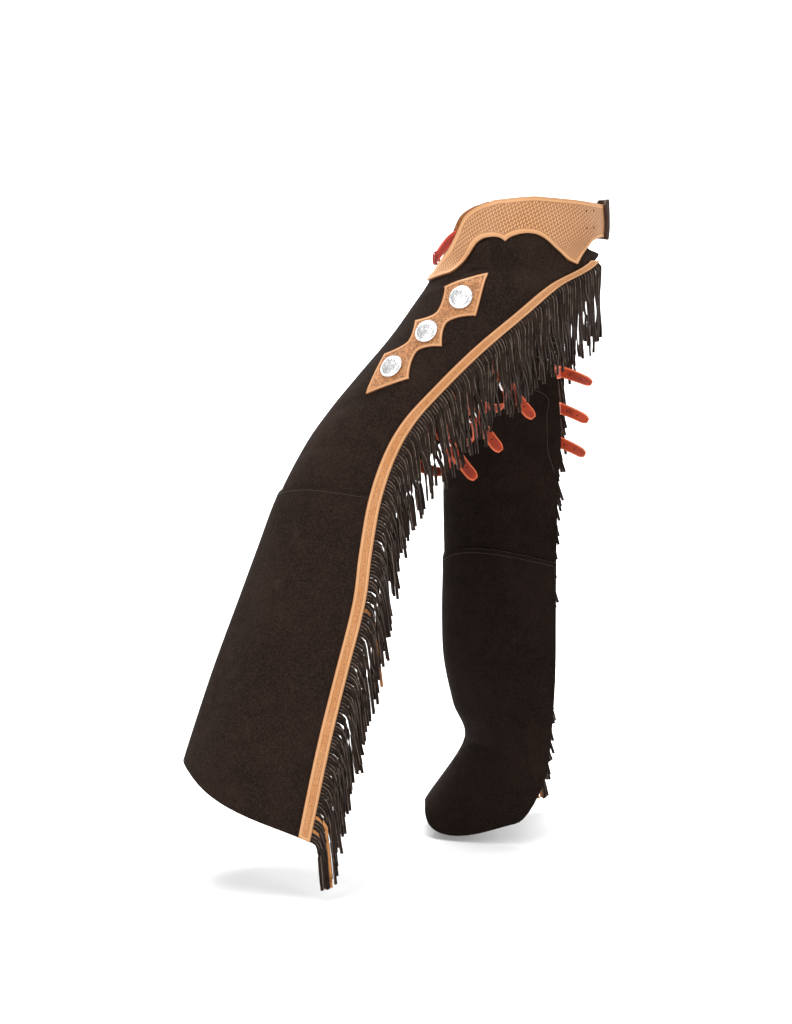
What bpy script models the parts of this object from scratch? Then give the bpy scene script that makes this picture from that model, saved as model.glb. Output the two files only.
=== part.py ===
"""Fringed riding chaps, worn pose: the left leg swung forward, the right leg standing.

The wearer faces -Y, their left side is +X, and the origin is the middle of the waist.
Each side has one pattern surface, lofted through the rows of a table. A row runs from the
inner edge of the leg, round its front, to the outer edge, and every piece of leather is cut
from that surface by its own outline and moved out by the layers under it. The outlines of
the yoke and the panel of three diamonds are written as they look from the left side.
"""

import math
from collections import namedtuple

import bmesh
import bpy
import numpy as np
from mathutils import Vector

# Leather, in metres
GAP = 0.0003
SUEDE = 0.002
YOKE_THICK = 0.003
TRIM_THICK = 0.0025
STRAP_THICK = 0.0025
LAYER = SUEDE + 0.0008
YOKE_SEAT = LAYER + 0.0004

# The outer edge: trim above, fringe strip under its outer half
TRIM_WIDTH = 0.0205
STRIP_WIDTH = 0.0095
STRAND_COUNT = 84
STRAND_SHARE = 0.68
STRAND_LENGTH = 0.118
STRAND_SEGMENTS = 3
STRAND_THROW = 0.034
GROUND = -1.059
GROUND_CLEAR = 0.006

# Knee seam: the lower panel laps outside the upper one
SEAM_ROW = 8.95
SEAM_ARCH = 0.2
SEAM_LAP = 0.17
HEM_ROW = 14.0
EDGE_TOP_ROW = 1.95
CORNER_ROUND = 0.9

# Conchos on the three diamonds
CONCHO_RADIUS = 0.019
CONCHO_HEIGHT = 0.0055
CONCHO_PITCH = 0.074
DIAMOND_HALF = 0.0365
NECK_HALF = 0.0135
DIAMOND_TIP = 0.131
DIAMOND_ROW_COUNT = 27

# Thigh straps
STRAP_WIDTH = 0.019
STRAP_INSET = 0.0055
STRAP_SEWN = (0.80, 0.855)
SEWN_GAP = 0.0009
SEWN_GAP_INNER = 0.0016
STRAP_START = math.radians(18)
BUCKLE_WIRE = 0.0016
BUCKLE_LENGTH = 0.017
BUCKLE_INSIDE = 0.022
TIP_LENGTH = 0.062

Row = namedtuple(
    "Row",
    "front_x front_y front_z edge_y edge_z out_width out_wrap "
    "inner_y inner_z in_width in_wrap",
)

# Rows from the waist to just past the hem, in metres and degrees.
LEFT_ROWS = (
    Row(0.000, -0.136, -0.005, 0.124, 0.003, 0.172, 179, -0.136, -0.008, 0.000, 40),
    Row(0.025, -0.139, -0.067, 0.122, -0.062, 0.152, 183, -0.132, -0.080, 0.012, 45),
    Row(0.060, -0.143, -0.101, 0.107, -0.102, 0.112, 142, -0.120, -0.130, 0.040, 55),
    Row(0.088, -0.149, -0.130, 0.047, -0.135, 0.104, 126, -0.095, -0.190, 0.068, 70),
    Row(0.098, -0.177, -0.172, -0.007, -0.180, 0.104, 116, -0.065, -0.255, 0.080, 85),
    Row(0.106, -0.212, -0.220, -0.065, -0.229, 0.106, 109, -0.080, -0.322, 0.086, 92),
    Row(0.115, -0.264, -0.281, -0.121, -0.283, 0.106, 103, -0.128, -0.383, 0.088, 94),
    Row(0.124, -0.306, -0.332, -0.170, -0.337, 0.102, 98, -0.168, -0.434, 0.088, 94),
    Row(0.130, -0.343, -0.385, -0.201, -0.390, 0.102, 96, -0.202, -0.478, 0.088, 94),
    Row(0.135, -0.384, -0.464, -0.224, -0.457, 0.104, 95, -0.240, -0.547, 0.090, 94),
    Row(0.140, -0.415, -0.546, -0.238, -0.536, 0.109, 93, -0.266, -0.615, 0.094, 94),
    Row(0.145, -0.444, -0.624, -0.248, -0.611, 0.116, 92, -0.293, -0.687, 0.099, 93),
    Row(0.150, -0.482, -0.726, -0.274, -0.715, 0.123, 90, -0.330, -0.790, 0.104, 92),
    Row(0.155, -0.510, -0.809, -0.300, -0.821, 0.132, 89, -0.355, -0.880, 0.108, 91),
    Row(0.160, -0.531, -0.875, -0.332, -0.971, 0.142, 88, -0.372, -0.965, 0.112, 90),
    Row(0.163, -0.545, -0.925, -0.344, -1.021, 0.147, 87, -0.382, -1.015, 0.114, 90),
)

RIGHT_ROWS = (
    Row(0.000, -0.136, -0.005, 0.124, 0.003, 0.172, 179, -0.136, -0.008, 0.000, 40),
    Row(0.025, -0.139, -0.067, 0.122, -0.062, 0.152, 183, -0.132, -0.080, 0.012, 45),
    Row(0.060, -0.137, -0.104, 0.110, -0.110, 0.112, 142, -0.105, -0.132, 0.040, 55),
    Row(0.084, -0.131, -0.140, 0.082, -0.158, 0.102, 128, -0.050, -0.195, 0.064, 75),
    Row(0.094, -0.122, -0.190, 0.060, -0.212, 0.096, 118, 0.020, -0.240, 0.070, 95),
    Row(0.099, -0.115, -0.248, 0.048, -0.270, 0.094, 111, 0.052, -0.275, 0.070, 102),
    Row(0.104, -0.114, -0.324, 0.040, -0.338, 0.094, 106, 0.061, -0.335, 0.072, 104),
    Row(0.109, -0.119, -0.390, 0.034, -0.402, 0.094, 102, 0.064, -0.398, 0.074, 102),
    Row(0.115, -0.123, -0.470, 0.030, -0.474, 0.096, 99, 0.060, -0.468, 0.078, 98),
    Row(0.120, -0.121, -0.600, 0.030, -0.592, 0.100, 96, 0.058, -0.596, 0.082, 95),
    Row(0.122, -0.122, -0.682, 0.030, -0.668, 0.106, 94, 0.058, -0.680, 0.084, 94),
    Row(0.124, -0.119, -0.760, 0.029, -0.745, 0.113, 92, 0.058, -0.765, 0.086, 93),
    Row(0.127, -0.104, -0.835, 0.027, -0.825, 0.120, 90, 0.054, -0.852, 0.088, 92),
    Row(0.130, -0.089, -0.905, 0.024, -0.905, 0.126, 89, 0.046, -0.935, 0.092, 91),
    Row(0.132, -0.150, -1.008, 0.020, -0.995, 0.132, 88, 0.030, -1.020, 0.096, 90),
    Row(0.133, -0.180, -1.058, 0.018, -1.045, 0.134, 88, 0.024, -1.070, 0.098, 90),
)

Point = namedtuple("Point", "y z")

# The yoke's upper edge as seen from the left, front to back.
YOKE_UPPER = (
    Point(-0.1430, -0.1210),
    Point(-0.1290, -0.0990),
    Point(-0.1140, -0.0780),
    Point(-0.1030, -0.0500),
    Point(-0.0930, -0.0290),
    Point(-0.0760, -0.0160),
    Point(-0.0500, -0.0060),
    Point(0.0030, 0.0000),
    Point(0.0690, -0.0060),
    Point(0.1120, -0.0120),
)

YokeLine = namedtuple("YokeLine", "low_y low_z high_y")

# The scalloped lower edge, and where the line from each of its places meets the upper edge.
YOKE_LINES = (
    YokeLine(-0.1480, -0.1310, -0.143),
    YokeLine(-0.1280, -0.1230, -0.133),
    YokeLine(-0.1130, -0.1170, -0.122),
    YokeLine(-0.0960, -0.1010, -0.110),
    YokeLine(-0.0810, -0.0770, -0.099),
    YokeLine(-0.0700, -0.0660, -0.089),
    YokeLine(-0.0560, -0.0620, -0.072),
    YokeLine(-0.0440, -0.0630, -0.060),
    YokeLine(-0.0360, -0.0680, -0.050),
    YokeLine(-0.0280, -0.0620, -0.040),
    YokeLine(-0.0130, -0.0570, -0.028),
    YokeLine(0.0040, -0.0565, -0.014),
    YokeLine(0.0190, -0.0620, 0.000),
    YokeLine(0.0340, -0.0740, 0.010),
    YokeLine(0.0470, -0.0870, 0.018),
    YokeLine(0.0580, -0.0980, 0.025),
    YokeLine(0.0720, -0.1050, 0.032),
    YokeLine(0.0780, -0.0955, 0.042),
    YokeLine(0.0840, -0.0860, 0.053),
    YokeLine(0.0880, -0.0790, 0.065),
    YokeLine(0.0930, -0.0715, 0.077),
    YokeLine(0.0990, -0.0660, 0.089),
    YokeLine(0.1080, -0.0630, 0.101),
    YokeLine(0.1160, -0.0620, 0.112),
)

Bend = namedtuple("Bend", "across row")

YOKE_LINE_STEP = 0.086

# The yoke's ends, upper and lower corner: past the front line, and at the centre back.
YOKE_FRONT = (Bend(-0.10, 2.72), Bend(-0.12, 3.02))
YOKE_BACK = (Bend(0.965, 0.27), Bend(0.965, 1.00))

# Top edge of the leg leather, hidden under the yoke, as share of the wrap and row.
LEG_TOP = (
    Bend(-1.00, 4.70),
    Bend(-0.70, 4.10),
    Bend(-0.35, 3.45),
    Bend(0.00, 2.75),
    Bend(0.18, 2.10),
    Bend(0.32, 1.10),
    Bend(0.42, 0.62),
    Bend(0.55, 0.62),
    Bend(0.64, 0.80),
    Bend(0.74, 1.22),
    Bend(0.83, 1.45),
    Bend(0.93, 1.62),
    Bend(1.00, EDGE_TOP_ROW),
)

Fold = namedtuple("Fold", "across row reach_across reach_row depth")

# Soft folds pressed into the surface: where, how far they reach, how deep they go.
LEFT_FOLDS = (
    Fold(0.55, 11.50, 0.14, 2.20, 0.005),
    Fold(0.25, 12.20, 0.12, 1.80, -0.005),
    Fold(-0.45, 10.50, 0.20, 2.50, 0.006),
)
RIGHT_FOLDS = (
    Fold(-0.35, 4.60, 0.25, 0.40, -0.005),
    Fold(-0.25, 12.90, 0.30, 0.60, -0.005),
    Fold(-0.75, 12.60, 0.20, 0.55, 0.006),
    Fold(-0.60, 8.00, 0.16, 2.40, 0.004),
    Fold(0.50, 11.20, 0.16, 2.20, 0.006),
    Fold(0.25, 12.90, 0.30, 0.60, -0.004),
)

Strap = namedtuple("Strap", "name row inner_row")
StrapFit = namedtuple("StrapFit", "bulge chape tip_drop swing straps")

# How far the straps stand behind the thigh, the chapes' length and how the tips hang.
LEFT_FIT = StrapFit(
    0.108,
    0.066,
    0.45,
    0.10,
    (Strap("upper", 4.95, 5.10), Strap("middle", 5.80, 6.00), Strap("lower", 6.62, 6.90)),
)
RIGHT_FIT = StrapFit(
    0.048,
    0.030,
    0.42,
    0.24,
    (Strap("upper", 5.30, 5.20), Strap("middle", 6.15, 6.10), Strap("lower", 7.00, 6.98)),
)


def catmull_rom(rows, v):
    """Every column of the rows at row number v, on one smooth curve."""
    last = len(rows) - 1
    v = min(max(v, 0.0), float(last))
    i = min(int(v), last - 1)
    t = v - i
    p0, p1, p2, p3 = (rows[min(max(k, 0), last)] for k in (i - 1, i, i + 1, i + 2))
    return 0.5 * (
        2 * p1
        + (p2 - p0) * t
        + (2 * p0 - 5 * p1 + 4 * p2 - p3) * t * t
        + (3 * p1 - p0 - 3 * p2 + p3) * t * t * t
    )


class Side:
    """The pattern surface of one leg: across runs -1 inner edge, 0 front, 1 outer edge."""

    def __init__(self, name, rows, folds, fit, sign):
        self.name = name
        self.rows = np.array(rows, float)
        self.folds = folds
        self.fit = fit
        self.sign = sign

    def plain(self, across, row):
        r = Row(*catmull_rom(self.rows, row))
        wrap = math.radians(r.out_wrap if across >= 0 else r.in_wrap)
        angle = abs(across) * wrap
        depth = (1 - math.cos(angle)) / (1 - math.cos(wrap))
        end_y, end_z = (r.edge_y, r.edge_z) if across >= 0 else (r.inner_y, r.inner_z)
        width = r.out_width if across >= 0 else -r.in_width
        return Vector(
            (
                self.sign * (r.front_x + width * math.sin(angle)),
                r.front_y + (end_y - r.front_y) * depth,
                r.front_z + (end_z - r.front_z) * depth,
            )
        )

    def direction(self, across, row):
        """Outward normal of the surface without its folds."""
        step = 0.02
        along = self.plain(across + step, row) - self.plain(across - step, row)
        down = self.plain(across, row + 3 * step) - self.plain(across, row - 3 * step)
        return (self.sign * down.cross(along)).normalized()

    def fold_depth(self, across, row):
        total = 0.0
        for fold in self.folds:
            a = (across - fold.across) / fold.reach_across
            b = (row - fold.row) / fold.reach_row
            total += fold.depth * math.exp(-a * a - b * b)
        return total

    def point(self, across, row, out=0.0):
        normal = self.direction(across, row)
        return self.plain(across, row) + normal * (out + self.fold_depth(across, row))

    def edge_down(self, across, row):
        """Unit vector down the leg at this place."""
        step = 0.06
        return (
            self.point(across, row + step) - self.point(across, row - step)
        ).normalized()

    def inward(self, row, distance):
        """Across value that lies this far in from the outer edge."""
        step = 0.02
        length = (self.point(1.0, row) - self.point(1.0 - step, row)).length
        return 1.0 - distance * step / length


LEFT = Side("left", LEFT_ROWS, LEFT_FOLDS, LEFT_FIT, 1)
RIGHT = Side("right", RIGHT_ROWS, RIGHT_FOLDS, RIGHT_FIT, -1)


def on_pattern(y, z):
    """(across, row) of the place on the left leg that shows at y, z from the left."""

    def beside(row):
        r = Row(*catmull_rom(LEFT.rows, row))
        return (r.edge_y - r.front_y) * (z - r.front_z) - (r.edge_z - r.front_z) * (
            y - r.front_y
        )

    low, high = 0.0, float(len(LEFT_ROWS) - 1)
    steps = 150
    for k in range(steps):
        a = low + (high - low) * k / steps
        b = low + (high - low) * (k + 1) / steps
        if beside(a) <= 0 <= beside(b):
            low, high = a, b
            break
    for _ in range(30):
        middle = (low + high) / 2
        if beside(middle) <= 0:
            low = middle
        else:
            high = middle
    row = (low + high) / 2
    r = Row(*catmull_rom(LEFT.rows, row))
    wrap = math.radians(r.out_wrap)
    share = (y - r.front_y) / (r.edge_y - r.front_y)
    share = min(max(share, 0.0), 1.0)
    return math.acos(1 - share * (1 - math.cos(wrap))) / wrap, row


def material(name, colour, roughness, metallic=0.0):
    made = bpy.data.materials.new(name)
    made.use_nodes = True
    shader = made.node_tree.nodes["Principled BSDF"]
    shader.inputs["Base Color"].default_value = (*colour, 1.0)
    shader.inputs["Roughness"].default_value = roughness
    shader.inputs["Metallic"].default_value = metallic
    return made


def add_object(name, mesh_data, finish):
    made = bpy.data.objects.new(name, mesh_data)
    made.data.materials.append(finish)
    bpy.context.scene.collection.objects.link(made)
    return made


def from_bmesh(name, bm, finish, smooth_angle=40):
    bmesh.ops.recalc_face_normals(bm, faces=bm.faces)
    mesh_data = bpy.data.meshes.new(name)
    bm.to_mesh(mesh_data)
    bm.free()
    mesh_data.shade_smooth()
    mesh_data.set_sharp_from_angle(angle=math.radians(smooth_angle))
    return add_object(name, mesh_data, finish)


def wall(name, inside, outside, finish):
    """A closed wall between two grids of points, inside[i][j] and outside[i][j]."""
    bm = bmesh.new()
    layers = [[[bm.verts.new(p) for p in line] for line in grid] for grid in (inside, outside)]
    rows, columns = len(inside), len(inside[0])
    for grid in layers:
        for i in range(rows - 1):
            for j in range(columns - 1):
                bm.faces.new((grid[i][j], grid[i + 1][j], grid[i + 1][j + 1], grid[i][j + 1]))
    rim = [(i, 0) for i in range(rows)]
    rim += [(rows - 1, j) for j in range(1, columns)]
    rim += [(i, columns - 1) for i in range(rows - 2, -1, -1)]
    rim += [(0, j) for j in range(columns - 2, 0, -1)]
    low, high = layers
    for (i, j), (m, n) in zip(rim, rim[1:] + rim[:1]):
        bm.faces.new((low[i][j], low[m][n], high[m][n], high[i][j]))
    return from_bmesh(name, bm, finish)


def between(bends, across):
    """The row that a bent line of (across, row) has at this across."""
    return float(np.interp(across, [b.across for b in bends], [b.row for b in bends]))


def cut(side, name, columns, upper, lower, lines, out, thick, finish, ease=1.0):
    """A piece of leather cut from the surface.

    columns holds across values or functions of the row, upper and lower give its edges'
    rows at each column, and out is how far its inside lies from the surface. An ease over 1
    sets the lines closer at the top.
    """
    inside, outside = [], []
    for column in columns:
        place = column if callable(column) else (lambda row, value=column: value)
        guess = place(HEM_ROW / 2) if callable(column) else column
        top, bottom = upper(guess), lower(guess)
        low_line, high_line = [], []
        for k in range(lines):
            row = top + (bottom - top) * (k / (lines - 1)) ** ease
            across = place(row)
            layer = out(row) if callable(out) else out
            low_line.append(side.point(across, row, layer))
            high_line.append(side.point(across, row, layer + thick))
        inside.append(low_line)
        outside.append(high_line)
    return wall(name, inside, outside, finish)


def seam(across):
    """Row of the knee seam, which is the lower panel's top edge."""
    return SEAM_ROW - SEAM_ARCH * math.sin(math.pi * min(abs(across), 1.0))


def hem(side, across):
    """Row of the hem: cut round between the front and each edge, its inner corner cut off."""
    depth = 0.18 if side is LEFT else 0.66
    corner = max(-across - 0.88, 0.0) / 0.12
    return (
        HEM_ROW
        + depth * math.sin(math.pi * min(abs(across), 1.0)) ** 2
        - CORNER_ROUND * corner * corner
    )


def edge_layer(row):
    """The trim and fringe strip step out by one layer where the lower panel begins."""
    start, stop = SEAM_ROW - 0.75, SEAM_ROW - 0.3
    t = min(max((row - start) / (stop - start), 0.0), 1.0)
    return LAYER * t * t * (3 - 2 * t)


def leg_columns(side):
    """Across values of a leg panel's lines, the last one running along the strip."""
    inner = [-1.0, -0.89, -0.72, -0.54, -0.4, -0.26, -0.12, 0.0]
    outer = [0.09, 0.18, 0.27, 0.36, 0.45, 0.54, 0.64, 0.74, 0.83]
    last = [lambda row: side.inward(row, STRIP_WIDTH + 0.0016)]
    return inner + outer + last


def leg_panels(side, suede):
    columns = leg_columns(side)
    cut(
        side,
        f"{side.name}_leg_upper",
        columns,
        lambda a: between(LEG_TOP, a),
        lambda a: seam(a) + SEAM_LAP,
        17,
        0.0,
        SUEDE,
        suede,
        1.45,
    )
    cut(
        side,
        f"{side.name}_leg_lower",
        columns,
        seam,
        lambda a: hem(side, a),
        10,
        LAYER,
        SUEDE,
        suede,
    )


def yoke(side, tan):
    """The hip yoke, ruled between its upper and its scalloped lower edge."""
    lower = [on_pattern(line.low_y, line.low_z) for line in YOKE_LINES]
    upper = []
    for line in YOKE_LINES:
        z = np.interp(line.high_y, [p.y for p in YOKE_UPPER], [p.z for p in YOKE_UPPER])
        upper.append(on_pattern(line.high_y, float(z)))
    lower = [Vector(p) for p in (YOKE_FRONT[1], *lower, YOKE_BACK[1])]
    upper = [Vector(p) for p in (YOKE_FRONT[0], *upper, YOKE_BACK[0])]
    pairs = [(upper[0], lower[0])]
    for high, low in zip(upper[1:], lower[1:]):
        last_high, last_low = pairs[-1]
        wide = max(abs(high.x - last_high.x), abs(low.x - last_low.x))
        parts = math.ceil(wide / YOKE_LINE_STEP)
        for part in range(1, parts + 1):
            share = part / parts
            pairs.append((last_high.lerp(high, share), last_low.lerp(low, share)))
    lines = 6
    inside, outside = [], []
    for top, bottom in pairs:
        low_line, high_line = [], []
        for n in range(lines):
            across, row = top.lerp(bottom, n / (lines - 1))
            low_line.append(side.point(across, row, YOKE_SEAT))
            high_line.append(side.point(across, row, YOKE_SEAT + YOKE_THICK))
        inside.append(low_line)
        outside.append(high_line)
    return wall(f"{side.name}_yoke", inside, outside, tan)


def trim(side, tan):
    columns = [
        lambda row: side.inward(row, TRIM_WIDTH),
        lambda row: side.inward(row, TRIM_WIDTH / 2),
        lambda row: side.inward(row, 0.0012),
    ]
    cut(
        side,
        f"{side.name}_edge_trim",
        columns,
        lambda a: EDGE_TOP_ROW,
        lambda a: HEM_ROW,
        47,
        lambda row: edge_layer(row) + LAYER,
        TRIM_THICK,
        tan,
    )


def strand_path(side, row, number, length):
    """Steps from a strand's root to its tip: thrown out from the edge, then hanging.

    Every other strand stands further off, so neighbours pass each other.
    """
    down = side.edge_down(1.0, row)
    out = side.point(1.0, row) - side.point(0.97, row)
    out = (out - down * out.dot(down)).normalized()
    free = min(max((row - 2.5) / 4.0, 0.0), 1.0)
    lift = side.direction(1.0, row) * (0.3 + 0.3 * free + 0.4 * (number % 2))
    hang = Vector((0.0, side.fit.swing * free, -1.0)).normalized()
    throw = STRAND_THROW * (0.45 + 0.55 * free)
    place, places = Vector(), []
    ticks = 12
    for k in range(1, ticks + 1):
        travelled = length * (k - 0.5) / ticks
        t = min(travelled / throw, 1.0)
        place = place + ((out + lift) * (1 - t) + hang * t).normalized() * (length / ticks)
        if k % (ticks // STRAND_SEGMENTS) == 0:
            places.append(place.copy())
    return places


def strand_length(row, number, root_z):
    """Cut to one length, a little uneven, and shorter where it would meet the ground."""
    uneven = 0.93 + 0.07 * math.sin(number * 2.4)
    room = root_z - GROUND - GROUND_CLEAR
    return min(STRAND_LENGTH * uneven, room * 1.02 + 0.004)


def edge_rows(side, count):
    """Row numbers of count + 1 places evenly spaced along the outer edge."""
    samples = 240
    rows = [EDGE_TOP_ROW + (HEM_ROW - EDGE_TOP_ROW) * k / samples for k in range(samples + 1)]
    points = [side.point(1.0, row) for row in rows]
    lengths = [0.0]
    for a, b in zip(points, points[1:]):
        lengths.append(lengths[-1] + (b - a).length)
    wanted = np.linspace(0.0, lengths[-1], count + 1)
    return [float(r) for r in np.interp(wanted, lengths, rows)]


def fringe(side, suede):
    """A strip along the edge with the strands drawn out of its outer face."""
    bm = bmesh.new()
    starts = edge_rows(side, STRAND_COUNT)
    stations = []
    for a, b in zip(starts, starts[1:]):
        spare = (b - a) * (1 - STRAND_SHARE) / 2
        stations += [a + spare, b - spare]

    def ring(row):
        layer = edge_layer(row)
        inner = side.inward(row, STRIP_WIDTH)
        outer = side.inward(row, 0.0)
        corners = ((inner, 0.0), (outer, 0.0), (outer, SUEDE), (inner, SUEDE))
        return [bm.verts.new(side.point(a, row, layer + h)) for a, h in corners]

    rings = [ring(row) for row in stations]
    bm.faces.new(rings[0])
    bm.faces.new(rings[-1][::-1])
    for k, (a, b) in enumerate(zip(rings, rings[1:])):
        for c in range(4):
            d = (c + 1) % 4
            if c == 1 and k % 2 == 0:
                continue
            bm.faces.new((a[c], b[c], b[d], a[d]))
    for number in range(STRAND_COUNT):
        a, b = rings[2 * number], rings[2 * number + 1]
        row = (stations[2 * number] + stations[2 * number + 1]) / 2
        root = [a[1], b[1], b[2], a[2]]
        centre = sum((v.co for v in root), Vector()) / 4
        length = strand_length(row, number, min(v.co.z for v in root))
        previous = root
        places = strand_path(side, row, number, length)
        for k, place in enumerate(places):
            narrow = 1 - 0.35 * (k + 1) / len(places)
            current = [bm.verts.new(centre + (v.co - centre) * narrow + place) for v in root]
            for c in range(4):
                d = (c + 1) % 4
                bm.faces.new((previous[c], previous[d], current[d], current[c]))
            previous = current
        bm.faces.new(previous)
    return from_bmesh(f"{side.name}_fringe", bm, suede)


def diamond_half(station):
    """Half width of the three-diamond panel this far from its middle."""
    s = abs(station)
    corner, neck = CONCHO_PITCH, CONCHO_PITCH * 0.42
    if s >= corner * 0.93:
        share = (DIAMOND_TIP - s) / (DIAMOND_TIP - corner * 0.93)
        return 0.0008 + DIAMOND_HALF * max(share, 0.0)
    if s <= neck:
        t = (neck - s) / neck
    else:
        t = (s - neck) / (corner * 0.93 - neck)
    return NECK_HALF + (DIAMOND_HALF - NECK_HALF) * t**1.6


DIAMOND_MIDDLE = Point(-0.154, -0.207)
DIAMOND_SLOPE = math.radians(47.3)


def walk(start, direction, distance):
    """The place reached by walking over the left pattern from start for a distance."""
    across, row = start
    steps = 6
    for _ in range(steps):
        here = LEFT.plain(across, row)
        by_across = (LEFT.plain(across + 0.01, row) - here) / 0.01
        by_row = (LEFT.plain(across, row + 0.01) - here) / 0.01
        normal = LEFT.direction(across, row)
        flat = (direction - normal * direction.dot(normal)).normalized()
        aa, ab, bb = by_across.dot(by_across), by_across.dot(by_row), by_row.dot(by_row)
        ta, tb = by_across.dot(flat), by_row.dot(flat)
        scale = distance / steps / (aa * bb - ab * ab)
        across += (ta * bb - tb * ab) * scale
        row += (tb * aa - ta * ab) * scale
    return across, row


def diamond_place(along_axis, sideways):
    """(across, row) on the pattern of a place on the diamond panel."""
    middle = on_pattern(*DIAMOND_MIDDLE)
    axis = Vector((0.0, -math.cos(DIAMOND_SLOPE), -math.sin(DIAMOND_SLOPE)))
    centre = walk(middle, axis, along_axis)
    side_way = LEFT.direction(*centre).cross(axis)
    return walk(centre, side_way, sideways)


def diamonds(side, tan):
    """The panel of three joined diamonds that lies on the thigh."""
    inside, outside = [], []
    corners = [k * CONCHO_PITCH * 0.93 for k in (-1, 0, 1)]
    evenly = np.linspace(-DIAMOND_TIP, DIAMOND_TIP, DIAMOND_ROW_COUNT)
    stations = sorted({round(float(s), 5) for s in (*evenly, *corners)})
    lines = 5
    for station in stations:
        half = diamond_half(station)
        low_line, high_line = [], []
        for k in range(lines):
            sideways = half * (2 * k / (lines - 1) - 1)
            across, row = diamond_place(station, sideways)
            low_line.append(side.point(across, row, LAYER))
            high_line.append(side.point(across, row, LAYER + TRIM_THICK))
        inside.append(low_line)
        outside.append(high_line)
    return wall(f"{side.name}_diamonds", inside, outside, tan)


def concho(side, number, silver):
    """A domed disc on one diamond."""
    across, row = diamond_place((number - 1) * CONCHO_PITCH, 0.0)
    normal = side.direction(across, row)
    lift = LAYER + TRIM_THICK + GAP + 0.0002
    base = side.point(across, row, lift)
    turn = Vector((0, 0, 1)).rotation_difference(normal).to_matrix()
    bm = bmesh.new()
    profile = [(CONCHO_RADIUS, 0.0), (CONCHO_RADIUS, 0.0012), (CONCHO_RADIUS * 0.84, 0.0026)]
    profile += [(CONCHO_RADIUS * 0.5, CONCHO_HEIGHT * 0.85)]
    rings = []
    sides = 16
    for radius, height in profile:
        ring = []
        for k in range(sides):
            angle = 2 * math.pi * k / sides
            flat = Vector((radius * math.cos(angle), radius * math.sin(angle), height))
            ring.append(bm.verts.new(base + turn @ flat))
        rings.append(ring)
    for a, b in zip(rings, rings[1:]):
        for k in range(sides):
            n = (k + 1) % sides
            bm.faces.new((a[k], a[n], b[n], b[k]))
    top = bm.verts.new(base + turn @ Vector((0, 0, CONCHO_HEIGHT)))
    for k in range(sides):
        bm.faces.new((rings[-1][k], rings[-1][(k + 1) % sides], top))
    bm.faces.new(rings[0][::-1])
    return from_bmesh(f"{side.name}_concho_{number + 1}", bm, silver)


def sewn_place(side, across, row, width):
    """A strap's two edges where it lies against the leather, and its thickness' way."""
    step = 0.05
    length = (side.point(across, row + step) - side.point(across, row)).length
    reach = STRAP_WIDTH / 2 * step / length
    gap = SEWN_GAP if across > 0 else SEWN_GAP_INNER
    ends = [side.point(across, row + k * reach, -gap) for k in (-1, 1)]
    if (ends[1] - ends[0]).dot(width) < 0:
        ends.reverse()
    return ends, -side.direction(across, row)


class StrapRing:
    """The loop that one thigh strap follows, from the outer edge round the back."""

    def __init__(self, side, strap):
        start = side.point(0.94, strap.row, -STRAP_INSET)
        end = side.point(-0.94, strap.inner_row, -STRAP_INSET)
        down = side.edge_down(1.0, strap.row) + side.edge_down(-1.0, strap.inner_row)
        back = (start - end).cross(down).normalized()
        if back.y < 0:
            back = -back
        self.reach = (start - end) / 2 / math.cos(STRAP_START)
        self.back = back * side.fit.bulge
        self.middle = (start + end) / 2 - self.back * math.sin(STRAP_START)
        self.width = self.reach.cross(self.back).normalized()
        sewn = [(a, strap.row) for a in STRAP_SEWN]
        self.sewn_outer = [sewn_place(side, a, row, self.width) for a, row in sewn]
        sewn = [(-a, strap.inner_row) for a in STRAP_SEWN]
        self.sewn_inner = [sewn_place(side, a, row, self.width) for a, row in sewn]

    def point(self, turn):
        return self.middle + self.reach * math.cos(turn) + self.back * math.sin(turn)

    def heading(self, turn):
        step = 0.01
        return (self.point(turn + step) - self.point(turn - step)).normalized()

    def outward(self, turn):
        normal = self.width.cross(self.heading(turn)).normalized()
        if normal.dot(self.point(turn) - self.middle) < 0:
            normal = -normal
        return normal

    def turn_at(self, distance):
        """The turn at this length along the loop."""
        turn, gone, step = STRAP_START, 0.0, 0.01
        while gone < distance:
            gone += (self.point(turn + step) - self.point(turn)).length
            turn += step
        return turn


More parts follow.
